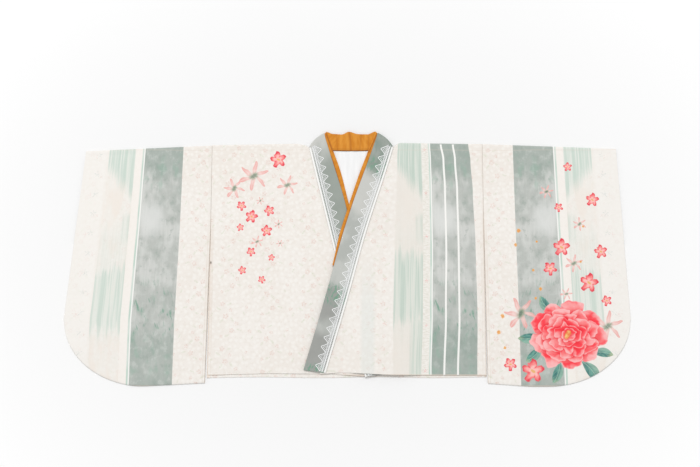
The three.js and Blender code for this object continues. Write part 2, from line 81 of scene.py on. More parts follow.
LEGS = {
    "right": dict(
        side=-1, start=-90.5, slope=0.243, bow=0,
        seam=(-88, -5), edge=(-54, 28), tip=(-48, 33.5),
    ),
    "left": dict(
        side=1, start=109.5, slope=-0.298, bow=4.2,
        seam=(107, -5), edge=(71.5, 29), tip=(65.5, 34.5),
    ),
}
BOW_DOWN, BOW_REACH = 215, 110  # where down a leg bows most, and over how much
LEVEL = [(0, 0), (1, 0)]
LEG_HEIGHTS = {
    "right": [(10, 3.8), (80, 2.9)],
    "left": [(5, 3.8), (128, 8.0), (385, 8.0), (505, 4.5)],
}
FRONT_RIGHT_HEM = [(-322, 545), (-240, 542.5), (-180, 541), (-60, 542), (60, 548)]
FRONT_LEFT_HEM = [(-60, 542), (-17, 539.5), (120, 545), (322, 546)]
NECK_WAVES = [  # x, how far up, lift
    (-48, 33.5, 0), (-34, 28.8, 0.4), (-12, 27.6, 0.9), (4, 34.0, 2.6), (25, 28.4, 0.9),
    (48, 27.8, 0.4), (65.5, 34.5, 0),
]
RIBBONS = [("ribbon_inner", 225.6, 6), ("ribbon_outer", 253.8, 7)]  # x, column in STRIPE_ROWS
SLEEVES = [
    dict(name="sleeve_right", side=-1, reach=621, rise=0.7, droop=13, gap=7, drawn=(8, 0.5)),
    dict(name="sleeve_left", side=1, reach=640, rise=4.3, droop=7.3, gap=3, drawn=(7, 0.3)),
]

MM = 0.001
_low, _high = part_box("back")
ORIGIN = np.array([(_low.x + _high.x) / 2, _low.y + BACK_LENGTH * MM, 0.0])

# ---- Small helpers ------------------------------------------------------------------------------


def smooth(t):
    t = np.clip(t, 0.0, 1.0)
    return t * t * (3 - 2 * t)


def lerp(a, b, t):
    return a + (b - a) * t


def bell(t):
    return np.exp(-(np.asarray(t, float) ** 2))


def eased(rows, at, column=1):
    """Reads a table at a place, easing from row to row. The first column is the place."""
    keys = np.array([row[0] for row in rows], float)
    values = np.array([row[column] for row in rows], float)
    at = np.clip(at, keys[0], keys[-1])
    i = np.clip(np.searchsorted(keys, at, side="right") - 1, 0, len(keys) - 2)
    return lerp(values[i], values[i + 1], smooth((at - keys[i]) / (keys[i + 1] - keys[i])))


def place(points):
    """Millimetres from the shoulder line to metres in the row's frame."""
    return np.asarray(points, float) * MM + ORIGIN


def rim_steps(count, rim=0.0012):
    """Even steps from 0 to 1, with one more close to each end so that an edge turns tightly."""
    return np.concatenate([[0, rim], np.linspace(0, 1, count + 1)[1:-1], [1 - rim, 1]])


# ---- Lines and heights of the garment -----------------------------------------------------------


def bow_x(name, y):
    return -LEGS[name]["bow"] * bell((-np.asarray(y, float) - BOW_DOWN) / BOW_REACH)


def seam_x(name, y):
    leg = LEGS[name]
    return leg["start"] - leg["slope"] * y + bow_x(name, y)


def leg_z(name, y):
    return eased(LEG_HEIGHTS[name], -np.asarray(y, float))


def neck_y(x):
    q = np.minimum(1, np.abs(x - NECK_CENTRE) / NECK_HALF)
    return -NECK_START - NECK_DROP * (1 - q**NECK_POWER)


def shoulder_y(x):
    off = np.abs(x - NECK_CENTRE)
    is_right = x < NECK_CENTRE
    armhole, neck, fade = (np.where(is_right, *pair) for pair in zip(CLIMB["right"], CLIMB["left"]))
    climb = lerp(neck, armhole, (off - NOTCH) / (BODY_HALF - NOTCH)) * smooth((off - NOTCH) / fade)
    return climb - NOTCH_DOWN * (1 - smooth((off - NOTCH) / (NOTCH_LEVEL - NOTCH)))


def back_top_y(x):
    return np.where(np.abs(x - NECK_CENTRE) > NECK_HALF, shoulder_y(x), neck_y(x) - SEAM_GAP)


def swell(x, y):
    return 0.5 + 0.25 * (np.sin(x / 71 + y / 190) + np.sin(y / 83 - x / 160 + 1.3))


def right_rest(x, y):
    off = seam_x("right", y) - x
    fall = 1 - smooth(off / FALL)
    calm = smooth((off - FALL) / 60) * smooth((x + BODY_HALF) / 50)
    ends = smooth(-y / 60) * smooth((y + BACK_LENGTH) / 60)
    return lerp(WALL + AIR, leg_z("right", y), fall) + swell(x, y) * calm * ends


def left_rest(x, y):
    off = x - seam_x("left", y)
    own = lerp(WALL + AIR, leg_z("left", y), 1 - smooth(off / FALL))
    low = seam_x("right", y)
    high = low + COLLAR_WIDTH + INNER_SHOWS
    beyond = 1 - smooth((x - high - LAP_CLEAR) / FALL)
    before = smooth((x - low + 48) / 36)
    lapped = np.where(off < 0, own, lerp(WALL + AIR, LAP_HIGH, np.minimum(beyond, before)))
    on_right = np.where(x < low + ALLOWANCE, right_rest(x, y) + WALL + AIR, WALL + AIR)
    calm = smooth((x - high - LAP_CLEAR - FALL) / 60) * smooth((BODY_HALF - x) / 50)
    ends = smooth(-y / 60) * smooth((y + BACK_LENGTH) / 60)
    free = smooth((off - FALL) / 60)
    return np.maximum(np.maximum(own, lapped), on_right) + swell(x, y) * calm * ends * free


def allowance(y):
    return ALLOWANCE * smooth((-y - ALLOWANCE_FROM) / (ALLOWANCE_FULL - ALLOWANCE_FROM))


def side_x(y):
    start, stop, inset = SIDE_OPEN
    t = (-y - start) / (stop - start)
    return BODY_HALF - np.where((t > 0) & (t < 1), np.sin(np.pi * np.clip(t, 0, 1)) * inset, 0)


# ---- Relief of the cloth ------------------------------------------------------------------------


def creases(rows, x, y):
    """Soft ridges and troughs. Each row runs from x0, y0 to x1, y1 with a width and a height."""
    z = np.zeros_like(x)
    for x0, y0, x1, y1, width, height in rows:
        dx, dy = x1 - x0, y1 - y0
        length = math.hypot(dx, dy)
        along = ((x - x0) * dx + (y - y0) * dy) / length**2
        bow = math.sin(x0 * 12.9 + y0) * 0.04 * length * 4 * along * (1 - along)
        off = ((x - x0) * dy - (y - y0) * dx) / length - bow
        fade = smooth((along + 0.1) / 0.35) * smooth((1.1 - along) / 0.45)
        z += height * fade * (bell(off / width) - 0.4 * bell(off / width / 2.3))
    return z


def flutter(x, y, seed, size, height):
    """Gentle unevenness of pressed cloth: a few crossing waves of about one size."""
    rng = np.random.default_rng(seed)
    z = np.zeros_like(x)
    for _ in range(7):
        angle, phase = rng.uniform(0, 2 * np.pi, 2)
        wave = size * rng.uniform(0.6, 1.7)
        z += np.sin((x * math.cos(angle) + y * math.sin(angle)) * 2 * np.pi / wave + phase)
    return z * height / 7


# ---- Meshes -------------------------------------------------------------------------------------


def make(name, points, faces, materials):
    mesh = bpy.data.meshes.new(name)
    mesh.from_pydata(place(points).tolist(), [], [list(face) for face in faces])
    for material in materials:
        mesh.materials.append(material)
    mesh.polygons.foreach_set("use_smooth", [True] * len(mesh.polygons))
    obj = bpy.data.objects.new(name, mesh)
    bpy.context.scene.collection.objects.link(obj)
    return obj


def loop_points(obj):
    index = np.empty(len(obj.data.loops), np.int32)
    obj.data.loops.foreach_get("vertex_index", index)
    return index


def add_map(obj, name, per_vertex):
    layer = obj.data.uv_layers.new(name=name)
    layer.data.foreach_set("uv", np.asarray(per_vertex, np.float32)[loop_points(obj)].ravel())


def sheet_map(obj, u, v):
    """Lays the cloth's map on both sides of a shell, in hundreds of millimetres."""
    add_map(obj, "Cloth", np.tile(np.stack([u.ravel(), v.ravel()], -1) / 100, (2, 1)))


def mesh_points(obj):
    points = np.empty(len(obj.data.vertices) * 3)
    obj.data.vertices.foreach_get("co", points)
    return points.reshape(-1, 3)


def plan_points(obj):
    """The x and y of every vertex, back in millimetres from the shoulder line."""
    return (mesh_points(obj)[:, :2] - ORIGIN[:2]) / MM


def grid_faces(rows, cols, start=0, flip=False, wrap=False):
    r, c = np.meshgrid(np.arange(rows - 1), np.arange(cols if wrap else cols - 1), indexing="ij")
    a = start + r * cols + c
    b = start + r * cols + (c + 1) % cols
    quads = np.stack([a, b, b + cols, a + cols], -1).reshape(-1, 4)
    return quads[:, ::-1] if flip else quads


def shell(name, x, y, top, bottom, materials):
    """A thin closed sheet over a grid of x and y, its rows running down and its columns across."""
    rows, cols = x.shape
    upper = np.stack([x, y, top], -1).reshape(-1, 3)
    lower = np.stack([x, y, bottom], -1).reshape(-1, 3)
    count = rows * cols
    across = x[0, -1] > x[0, 0]
    ring = [(0, c) for c in range(cols)] + [(r, cols - 1) for r in range(1, rows)]
    ring += [(rows - 1, c) for c in range(cols - 2, -1, -1)]
    ring += [(r, 0) for r in range(rows - 2, 0, -1)]
    edge = np.array([r * cols + c for r, c in ring])
    after = np.roll(edge, -1)
    sides = np.stack([edge, after, after + count, edge + count], -1)
    sides = sides if across else sides[:, ::-1]
    sheets = [grid_faces(rows, cols, 0, across), grid_faces(rows, cols, count, not across)]
    faces = np.vstack([*sheets, sides])
    return make(name, np.vstack([upper, lower]), faces, materials)


def tube_faces(stations, sides, start=0):
    """The skin of a tube through rings of points, with a cap at each end."""
    faces = grid_faces(stations, sides, start, False, True).tolist()
    faces.append([start + k for k in range(sides)])
    faces.append([start + (stations - 1) * sides + k for k in range(sides)][::-1])
    return faces


def face_out(obj):
    """Turns a closed mesh's faces outwards if its volume comes out negative."""
    mesh = obj.data
    mesh.calc_loop_triangles()
    corners = np.empty(len(mesh.loop_triangles) * 3, np.int32)
    mesh.loop_triangles.foreach_get("vertices", corners)
    a, b, c = mesh_points(obj)[corners.reshape(-1, 3)].transpose(1, 0, 2)
    if (a * np.cross(b, c)).sum() < 0:
        mesh.flip_normals()


# ---- Creases of each piece: from x, y to x, y, width, height ------------------------------------

CREASES = {
    "front_right": [
        (-96, -16, -150, -9, 4, -0.7), (-101, -34, -134, -60, 6, 0.7),
        (-92, -60, -126, -128, 9, 0.6), (-318, -60, -262, -176, 13, 0.5),
        (-316, -228, -262, -300, 9, -0.6), (-318, -300, -296, -470, 8, 0.6),
        (-238, -540, -222, -410, 16, 0.7), (-120, -540, -133, -430, 14, 0.7),
        (-60, -330, -170, -470, 20, 0.6), (-200, -60, -176, -250, 26, 0.5),
    ],
    "front_left": [
        (116, -16, 168, -9, 4, -0.7), (122, -36, 156, -64, 6, 0.7), (112, -74, 146, -150, 9, 0.6),
        (318, -70, 268, -182, 13, 0.5), (316, -222, 262, -300, 9, -0.6),
        (150, -547, 141, -430, 14, 0.7), (70, -540, 84, -400, 12, 0.6),
        (246, -548, 256, -420, 15, 0.6), (40, -300, 90, -420, 18, 0.6),
    ],
    "sleeve_right": [
        (-360, -10, -420, -120, 18, 0.7), (-330, -230, -392, -330, 16, 0.8),
        (-600, -60, -560, -260, 24, 0.6), (-480, -560, -470, -420, 22, 0.8),
        (-640, -380, -560, -470, 20, 0.7), (-400, -565, -392, -470, 15, 0.6),
    ],
    "sleeve_left": [
        (360, -10, 424, -130, 18, 0.7), (332, -240, 398, -340, 16, 0.8),
        (606, -70, 570, -260, 24, 0.6), (470, -560, 462, -430, 22, 0.8),
        (640, -390, 568, -480, 20, 0.7), (392, -565, 398, -470, 15, 0.6),
    ],
}
TOP_CREASE = (10.5, 2.4, -0.8)  # of a fold pressed along the top: how far down, width, height


def relief(name, x, y, top):
    """Everything that lifts a panel a little off its plain form, none at its very edges."""
    down, width, height = TOP_CREASE
    pressed = height * bell((top - y - down) / width)
    return creases(CREASES[name], x, y) + flutter(x, y, len(name) + 7, 105, 0.5) + pressed


# ---- Body ---------------------------------------------------------------------------------------

ROLL = [0, 0.2, 0.7, 1.5, 2.6, 4.0]  # rows down over the shoulder fold, from its edge
FOLD_LOW = 0.9  # height of the cloth at that edge
FRONT_DOWN, HEM_TURN = 545, 13  # length of a front and of its turned hem
LINING_END, LINING_INSET = 200, 3
BACK_REACH, REACH_OVER = 2.2, 160  # how far the back reaches past its right side, and over what


def rolled_over(high, down):
    """Brings a sheet down to the shoulder fold over its first few millimetres."""
    return lerp(high, FOLD_LOW, 1 - np.sqrt(1 - np.clip(1 - down / ROLL[-1], 0, 1) ** 2))


def front(name, hem, rest, materials):
    """One front: a single sheet that starts at the shoulder fold and ends at the hem."""
    side = LEGS[name]["side"]
    across = rim_steps(96)
    inner = lambda y: seam_x(name, y) - side * allowance(y)
    outer = lambda y: side * side_x(y)
    top = shoulder_y(lerp(inner(0.0), outer(0.0), across))
    bottom = -eased(hem, lerp(inner(-550.0), outer(-550.0), across))
    length = (top - bottom)[None, :]
    steps = ROLL + np.linspace(7, FRONT_DOWN - 0.7, 134).tolist() + [FRONT_DOWN - 0.35, FRONT_DOWN]
    down = np.array(steps)[:, None] / FRONT_DOWN
    y = top[None, :] - down * length
    x = lerp(inner(y), outer(y), across[None, :])
    hem_wave = 0.7 * np.sin(x / 31) * smooth((down - 0.96) / 0.04)
    calm = smooth(down / 0.03) * smooth((1 - across) / 0.03)[None, :]
    lift = relief("front_" + name, x, y, top[None, :]) * calm
    high = rest(x, y) + WALL + np.maximum(lift, -0.25) + hem_wave * 0.3
    high = rolled_over(high, down * FRONT_DOWN)
    seam = smooth((np.abs(x - outer(y)) - 0.2) / 3.0)
    high -= 0.5 * (1 - seam) * (y > -SLEEVE_JOINED)
    turned = 0.45 * smooth((down * FRONT_DOWN - (FRONT_DOWN - HEM_TURN)) / 2)
    obj = shell("front_" + name + "_cloth", x, y, high, high - CLOTH - turned, materials)
    sheet_map(obj, print_across(name, x, y), -y)
    return obj


# The printed stripes of the left front, by how far down: where each line's x lies, and its place
# in the print. Between lines the print stretches evenly.
STRIPE_ROWS = [
    # down, pale stripe, inner mint edge, mint edge, lines, grey edge, ribbon 1, ribbon 2, grey edge
    (-8, 28, 121, 177, 187, 198.5, 222.5, 251.5, 283.5),
    (36, 28, 119, 178, 189, 200.5, 229, 256.5, 289),
    (110, 28, 117, 179.5, 190, 202, 231.8, 260.5, 294),
    (240, 28, 112, 180, 190, 203, 233, 262, 299),
    (400, 28, 108, 177.5, 188, 200.5, 230.2, 261.7, 301),
    (550, 28, 106, 172.5, 184, 196, 224.6, 256.2, 298),
]
STRIPE_PLACES = (352, 275, 203, 191.5, 177, 148, 118, 80)  # in the print, from its armhole edge


def print_across(name, x, y):
    """How far each point lies across the print, from the print's armhole edge."""
    if name == "right":
        return x + 400
    lines = [eased(STRIPE_ROWS, -y, column) for column in range(1, 9)]
    lines = [lines[0] - 60] + lines + [np.full_like(x, BODY_HALF + 2)]
    places = (412,) + STRIPE_PLACES + (54,)
    u = np.full_like(x, places[0])
    for (low, high), (start, stop) in zip(zip(lines, lines[1:]), zip(places, places[1:])):
        t = (x - low) / (high - low)
        u = np.where(x >= low, lerp(start, stop, t), u)
    return u


def back(materials):
    stretches = ((-BODY_HALF, -96, 30), (-90, 109, 50), (115, BODY_HALF, 30))
    x = np.concatenate([np.linspace(*stretch) for stretch in stretches])
    down = np.array([0, 0.0006] + np.linspace(0.01, 0.99, 60).tolist() + [0.9992, 1])[:, None]
    top = back_top_y(x)[None, :]
    hem = -BACK_LENGTH + 0.9 * np.sin(x / 43)[None, :]
    y = top + (hem - top) * down
    beside = np.clip(-y - SLEEVE_JOINED, 0, REACH_OVER) / REACH_OVER * BACK_REACH
    by_seam = smooth((-x - BODY_HALF + 9) / 6)
    x = x - beside * smooth((-x - BODY_HALF + 14) / 14)
    rise = 0.5 * smooth((-y - 20) / 30) + 1.1 * smooth((-y - SLEEVE_JOINED) / 12)
    obj = shell("back_cloth", x, y, 0.95 + rise * by_seam, np.zeros_like(y), materials)
    sheet_map(obj, np.abs(x) * 1.05, -y)
    return obj


def lining(materials):
    down = np.linspace(0, 1, 44)[:, None]
    t = np.linspace(0, 1, 44)[None, :]
    y = lerp(neck_y(lerp(-84.0, 103.0, t)) - SEAM_GAP, -LINING_END, down)
    x = lerp(seam_x("right", y) + LINING_INSET, seam_x("left", y) - LINING_INSET, t)
    seam = 0.35 * bell((x - 9) / 1.6)
    soft = creases([(-14, -40, 4, -150, 9, 0.35), (30, -30, 12, -130, 8, 0.35)], x, y)
    high = 2.15 + seam + soft
    obj = shell("back_lining_cloth", x, y, high, high - 0.5, materials)
    sheet_map(obj, x, -y)
    return obj


# ---- Sleeves ------------------------------------------------------------------------------------

EDGE_ROUND = 1.6  # radius of a sleeve's folded edges
PRINT_WIDTH = 338  # of the print on a sleeve, from armhole to cuff


def sleeve_in(row, y):
    free = np.maximum(0, -y - SLEEVE_JOINED) / (SLEEVE_DEPTH - SLEEVE_JOINED)
    return SLEEVE_IN + row["gap"] * free


def sleeve_out(row, y):
    return lerp(row["reach"], SLEEVE_OUT, np.clip(-y / (SLEEVE_DEPTH - CORNER_UP), 0, 1))


def sleeve(row, materials):
    """A sleeve is one panel folded along its top: a flat tube from the armhole to the cuff, sewn
    shut along the bottom and below the cuff."""
    width = SLEEVE_OUT - SLEEVE_IN
    turn = 1 - CORNER_ACROSS / width
    arc = np.sin(np.linspace(0, 1, 41)[1:] * np.pi / 2)
    across = np.concatenate([[0, 0.0015], np.linspace(0, turn, 36)[1:], turn + (1 - turn) * arc])
    past = np.clip((across - turn) / (1 - turn), 0, 1)
    drawn_up, drawn_for = row["drawn"]
    round_y = SLEEVE_DEPTH - CORNER_UP + CORNER_UP * np.sqrt(1 - past**2)
    round_y = round_y - drawn_up * np.clip(1 - across / drawn_for, 0, 1) ** 1.1
    normal_x = past / CORNER_ACROSS
    normal_y = np.sqrt(1 - past**2) / CORNER_UP
    norm = np.hypot(normal_x, normal_y)
    normal_x, normal_y = normal_x / norm, normal_y / norm

    rows = 130
    down = np.linspace(0, 1, rows)[:, None]
    top = (lerp(row["rise"], -row["droop"], across) - EDGE_ROUND)[None, :]
    hem = -(round_y - EDGE_ROUND * normal_y)[None, :]
    y = lerp(top, hem, down)
    cuff_inset = np.where(-y > CUFF, EDGE_ROUND, 0.0)
    reach = sleeve_out(row, y) - cuff_inset
    inner = sleeve_in(row, y)
    by_hem = smooth((down - 0.9) / 0.1)
    x = lerp(inner, reach, across[None, :]) - EDGE_ROUND * normal_x * by_hem * (across < 1)

    name = row["name"]
    wide = smooth((x - SLEEVE_IN) / 90) * smooth((sleeve_out(row, y) - x) / 90)
    ends = smooth(-y / 90) * smooth((y + SLEEVE_DEPTH) / 120)
    puff = 1.9 * wide * ends * swell(row["side"] * x, y)
    lift = relief(name, row["side"] * x, y, top) * smooth((top - y) / 12) * smooth((y - hem) / 14)
    lift *= smooth((sleeve_out(row, y) - x) / 16)
    allowance_strip = 0.5 * smooth((15 - (x - inner)) / 3) * smooth((x - inner) / 1.2)
    allowance_strip *= smooth((-y + 4) / 10)
    mouth = 0.7 * (1 - smooth((x - inner - 0.2) / 2.5)) * (y > -SLEEVE_JOINED)
    high = SLEEVE_HIGH + puff + np.maximum(lift, -0.8) + allowance_strip - mouth

    def rolled(x_edge, y_edge, z_top, nx, ny, steps=3):
        """Points round a folded edge, from its upper side to its lower one."""
        angles = np.linspace(0, np.pi, steps + 2)[1:-1]
        ring = []
        for a in angles:
            out = EDGE_ROUND * math.sin(a)
            ring.append([x_edge + out * nx, y_edge + out * ny, z_top / 2 * (1 + math.cos(a))])
        return [np.stack(point, -1) for point in ring]

    bottom_roll = rolled(x[-1], y[-1], high[-1], normal_x, -normal_y)
    top_roll = rolled(x[0], y[0], high[0], 0.0, 1.0)[::-1]
    upper = np.stack([x, y, high], -1)
    lower = np.stack([x, y, 0 * high], -1)[::-1]
    ring = np.concatenate([upper, np.array(bottom_roll), lower, np.array(top_roll)], 0)
    rings = ring.transpose(1, 0, 2)
    stations, sides = rings.shape[:2]
    points = rings.reshape(-1, 3)
    faces = grid_faces(stations, sides, 0, False, True).tolist()

    last = (stations - 1) * sides
    strip, extra = [], []
    for r in (r for r in range(rows) if -y[r, -1] > CUFF):
        up, down_at = last + r, last + sides - len(top_roll) - 1 - r
        if r == rows - 1:
            strip.append([up] + [last + rows + k for k in range(3)] + [down_at])
            continue
        ids = []
        at_x, at_y, at_z = points[up]
        for a in np.linspace(0, np.pi, 5)[1:-1]:
            ids.append(len(points) + len(extra))
            extra.append([at_x + EDGE_ROUND * math.sin(a), at_y, at_z / 2 * (1 + math.cos(a))])
        strip.append([up] + ids + [down_at])
    for one, two in zip(strip, strip[1:]):
        faces += [[one[k], two[k], two[k + 1], one[k + 1]] for k in range(4)]
    points = np.vstack([points, extra])

    start, stop = sleeve_in(row, points[:, 1]), sleeve_out(row, points[:, 1])
    share = (points[:, 0] - start) / (stop - start)
    in_print = np.stack([share * PRINT_WIDTH, -points[:, 1]], -1)
    points[:, 0] *= row["side"]
    if row["side"] < 0:
        faces = [face[::-1] for face in faces]
    obj = make(name + "_cloth", points, faces, materials)
    add_map(obj, "Cloth", in_print / 100)
    obj.data.validate()
    return obj


def thicken(obj, thickness):
    """Gives a single sheet its thickness, as real faces."""
    solid = obj.modifiers.new("thickness", "SOLIDIFY")
    solid.thickness = thickness * MM
    solid.offset = -1
    solid.use_even_offset = False
    solid.use_rim = True


# ---- Collar -------------------------------------------------------------------------------------

SHOULDER_ROUND = 3.8  # how far the collar's fold bows out over the shoulder
WARP_REACH = 26


def fold_axis(name, tip):
    """Where a band folds over the shoulder: its start, its end, its direction and the way out."""
    leg = LEGS[name]
    start, stop = np.array(leg["seam"], float), np.array(leg[tip], float)
    along = (stop - start) / np.linalg.norm(stop - start)
    outward = np.array([along[1], -along[0]]) * leg["side"]
    return start, stop, along, outward


def bowed(points):
    """Bows whatever lies near a shoulder fold outwards, so that the fold is a soft curve."""
    points = np.array(points, float)
    for name in LEGS:
        start, stop, along, outward = fold_axis(name, "edge")
        offset = points[..., :2] - start
        share = np.clip((offset @ along) / np.linalg.norm(stop - start), 0, 1)
        near = smooth(1 - np.abs(offset @ outward) / WARP_REACH)
        points[..., :2] += (SHOULDER_ROUND * np.sin(np.pi * share) * near)[..., None] * outward
    return points


def leg_stations(name, end, start_in, past, more, above, tip, count):
    leg = LEGS[name]
    inward = -leg["side"]
    k = np.linspace(1, 0, count, endpoint=False)
    seam_y = lerp(leg["seam"][1], -end, k)
    free_y = lerp(leg[tip][1], -end + EDGE_RISE, k)
    seam_at = seam_x(name, seam_y) + inward * start_in(seam_y)
    edge_at = seam_x(name, free_y) + inward * (COLLAR_WIDTH + past)
    narrowed = leg[tip][0] - (seam_x(name, leg[tip][1]) + inward * (COLLAR_WIDTH + past))
    free_at = edge_at + narrowed * (1 - smooth(k / 0.3)) + inward * eased(more, -free_y)
    seam = np.stack([seam_at, seam_y, leg_z(name, seam_y) + above], -1)
    free = np.stack([free_at, free_y, leg_z(name, free_y) + above], -1)
    return seam, free, np.tile([0.0, 0, 1], (count, 1))


def fold_stations(name, tip, radius, turns=14):
    start, stop, _, outward = fold_axis(name, tip)
    angle = np.linspace(0, np.pi, turns)[:, None]
    out = np.cos(angle) * np.array([0, 0, 1.0]) + np.sin(angle) * np.append(outward, 0)
    centre = lambda p: np.append(p, FOLD_Z)
    return centre(start) + out * radius, centre(stop) + out * radius, out


def neck_stations(tip, drawn_in, z, count=58):
    t = np.linspace(0, 1, count + 2)[1:-1]
    right, left = LEGS["right"], LEGS["left"]
    x = lerp(right["seam"][0], left["seam"][0], t)
    free_x = lerp(right[tip][0], left[tip][0], t)
    up = eased(NECK_WAVES, free_x) - drawn_in
    lift = eased(NECK_WAVES, free_x, 2)
    seam = np.stack([x, neck_y(x), np.full(count, float(z))], -1)
    free = np.stack([free_x, up, z + lift], -1)
    return seam, free, np.tile([0.0, 0, -1], (count, 1))


def band(name, parts, thick, materials, slack=None):
    """A folded band: rounded edges, a slightly full middle, and its length as the map's second
    value."""
    seam, free, out = (np.vstack([part[i] for part in parts]) for i in range(3))
    width = np.linalg.norm(free - seam, axis=1)
    across = (free - seam) / width[:, None]
    half = thick / 2
    turn = np.linspace(-np.pi / 2, np.pi / 2, 5)
    flat = np.linspace(0, 1, 13)[1:-1]
    profile = [(half - half * math.cos(a), 0, half * math.sin(a)) for a in turn]
    profile += [(0, t, half) for t in flat]
    profile += [(half * math.cos(a) - half, 1, half * math.sin(a)) for a in turn[::-1]]
    profile += [(0, t, -half) for t in flat[::-1]]
    rings, maps = [], []
    middle = (seam + free) / 2
    steps = np.linalg.norm(np.diff(middle, axis=0), axis=1)
    along = np.concatenate([[0], np.cumsum(steps)])
    for edge, share, height in profile:
        room = lerp(half, width - half, share) if edge == 0 else share * width + edge
        full = 0.25 * math.sin(math.pi * share) * math.copysign(1, height) * (edge == 0)
        point = seam + across * np.asarray(room)[..., None] + out * (height + full)
        if slack is not None:
            point = point + slack(point, share)
        rings.append(point)
        maps.append(np.stack([np.broadcast_to(room, along.shape), along], -1))
    rings = bowed(np.stack(rings, 1))
    obj = make(name, rings.reshape(-1, 3), tube_faces(*rings.shape[:2]), materials)
    add_map(obj, "Cloth", np.stack(maps, 1).reshape(-1, 2) / 100)
    add_map(obj, "Place", rings.reshape(-1, 3)[:, :2] / 100)
    face_out(obj)
    return obj


def band_parts(leg, tip, radius, behind):
    """A band's stations from the right leg's end, round the neck, to the left leg's."""
    fold = lambda name: fold_stations(name, tip, radius)
    back_ways = lambda part: tuple(array[::-1] for array in part)
    return [leg("right"), fold("right"), behind, back_ways(fold("left")), back_ways(leg("left"))]


def collar(materials):
    above = WALL + SEAM_GAP + COLLAR_THICK / 2
    rest = (lambda y: 0 * y, 0, LEVEL, above, "edge", 110)
    leg = lambda name: leg_stations(name, COLLAR_ENDS[name], *rest)
    behind = neck_stations("edge", INNER_SHOWS, COLLAR_THICK / 2)
    parts = band_parts(leg, "edge", COLLAR_FOLD, behind)
    return band("collar_cloth", parts, COLLAR_THICK, materials)


NECK_RIDGES = [  # x, reach, height: of the contrast collar's folds behind the neck
    (-6, 5, 1.5), (21, 6, 1.3), (44, 6, 1.0), (-30, 6, 0.9), (7, 4, -0.5), (33, 4, -0.4)
]


def neck_slack(point, share):
    """The contrast collar stands in soft upright folds behind the neck."""
    x, y = point[:, 0], point[:, 1]
    behind = smooth((y + 30) / 8) * (np.abs(x - NECK_CENTRE) < 62) * (point[:, 2] < 6)
    ridge = sum(height * bell((x - at) / reach) for at, reach, height in NECK_RIDGES)
    lift = (ridge * (0.25 + 0.75 * share)) * behind * smooth((62 - np.abs(x - NECK_CENTRE)) / 12)
    return np.stack([0 * x, 0 * x, lift], -1)


def inner_collar(materials):
    start_in = lambda y: allowance(y) + 2 * smooth((LEGS["right"]["seam"][1] - y) / 8)
    above = INNER_THICK / 2
    rest = (start_in, INNER_SHOWS, INNER_SPREADS, above, "tip", 64)
    leg = lambda name: leg_stations(name, INNER_LENGTH, *rest)
    behind = neck_stations("tip", 0, COLLAR_THICK + AIR + INNER_THICK / 2)
    parts = band_parts(leg, "tip", INNER_FOLD, behind)
    return band("inner_collar_cloth", parts, INNER_THICK, materials, neck_slack)


# ---- Lace and ribbons ---------------------------------------------------------------------------


def on_collar(name, u, v, lift):
    """A place on a collar leg's outer face, round the shoulder fold too: u runs up the seam edge
    from the hem end, v is the distance from that edge."""
    leg = LEGS[name]
    down = np.array([leg["slope"], -1.0])
    down /= np.linalg.norm(down)
    inward = np.array([down[1], -down[0]]) * leg["side"]
    end = np.array([leg["start"] + leg["slope"] * COLLAR_ENDS[name], -COLLAR_ENDS[name]])
    x = end[0] - down[0] * u + inward[0] * v
    y = end[1] - down[1] * u + inward[1] * v
    x = x + bow_x(name, y)
    start, _, _, outward = fold_axis(name, "edge")
    beyond = (x - start[0]) * outward[0] + (y - start[1]) * outward[1]
    radius = COLLAR_FOLD + COLLAR_THICK / 2 + lift
    over = smooth(-v / 1.2) * np.ones_like(x)
    angle = np.clip(beyond / radius, 0, np.pi)
    back_by = np.where(beyond > 0, beyond - radius * np.sin(angle), 0)
    base = WALL + SEAM_GAP + COLLAR_THICK + LACE_LIFT
    z = leg_z(name, np.minimum(y, -5)) + base + lift - 0.3 * over
    z = np.where(beyond > 0, FOLD_Z + radius * np.cos(angle) + LACE_LIFT, z)
    return bowed(np.stack([x - outward[0] * back_by, y - outward[1] * back_by, z], -1))


def lace_length(name):
    leg = LEGS[name]
    return (COLLAR_ENDS[name] + leg["seam"][1]) * math.hypot(1, leg["slope"])


def arch(middle, half, top=()):
    """A path over a lace point: its first half, its top, and that half mirrored."""
    before = [(middle - u, v) for u, v in half]
    return np.array(before + list(top) + [(middle + u, v) for u, v in half[::-1]])


def lace_cords(length):
    """The threads of the lace, flat: each a path of (u, v), a width and a height."""
    pitch = length / round(length / LACE_PITCH)
    fine = np.arange(0, length + 2.0, 4.0)
    cords = []
    for v, width, height in ((0.5, 4.8, 0.6), (6.9, 2.3, 0.8), (12.6, 1.2, 0.8)):
        cords.append((np.stack([fine, np.full(len(fine), v)], -1), width, height))
    small = pitch / 6
    knots = np.arange(int(length / small) + 1)
    for phase in (0, 1):
        v = np.where((knots + phase) % 2 == 0, 7.8, 12.2)
        cords.append((np.stack([knots * small, v], -1), 0.9, 0.55))
    for u in (knots[:-1] + 0.5) * small:
        cords.append((np.array([[u, 2.4], [u, 6.2]]), 0.75, 0.4))
    outer = [(pitch / 2 - 0.3, 12.8), (pitch * 0.31, 16.6), (pitch * 0.16, 21.4), (0.8, 25.4)]
    inner = [(pitch * 0.2, 13.6), (2.5, 17.6)]
    for m in (np.arange(round(length / pitch)) + 0.5) * pitch:
        cords.append((arch(m, outer), 1.8, 0.9))
        cords.append((arch(m, inner, [(m, 20.4)]), 0.95, 0.6))
        for side in (-1, 1):
            cords.append((np.array([[m + side * 5.0, 14.9], [m + side * 8.0, 15.4]]), 0.8, 0.45))
        cords.append((np.array([[m, 13.0], [m, 16.8]]), 1.0, 0.5))
    return cords


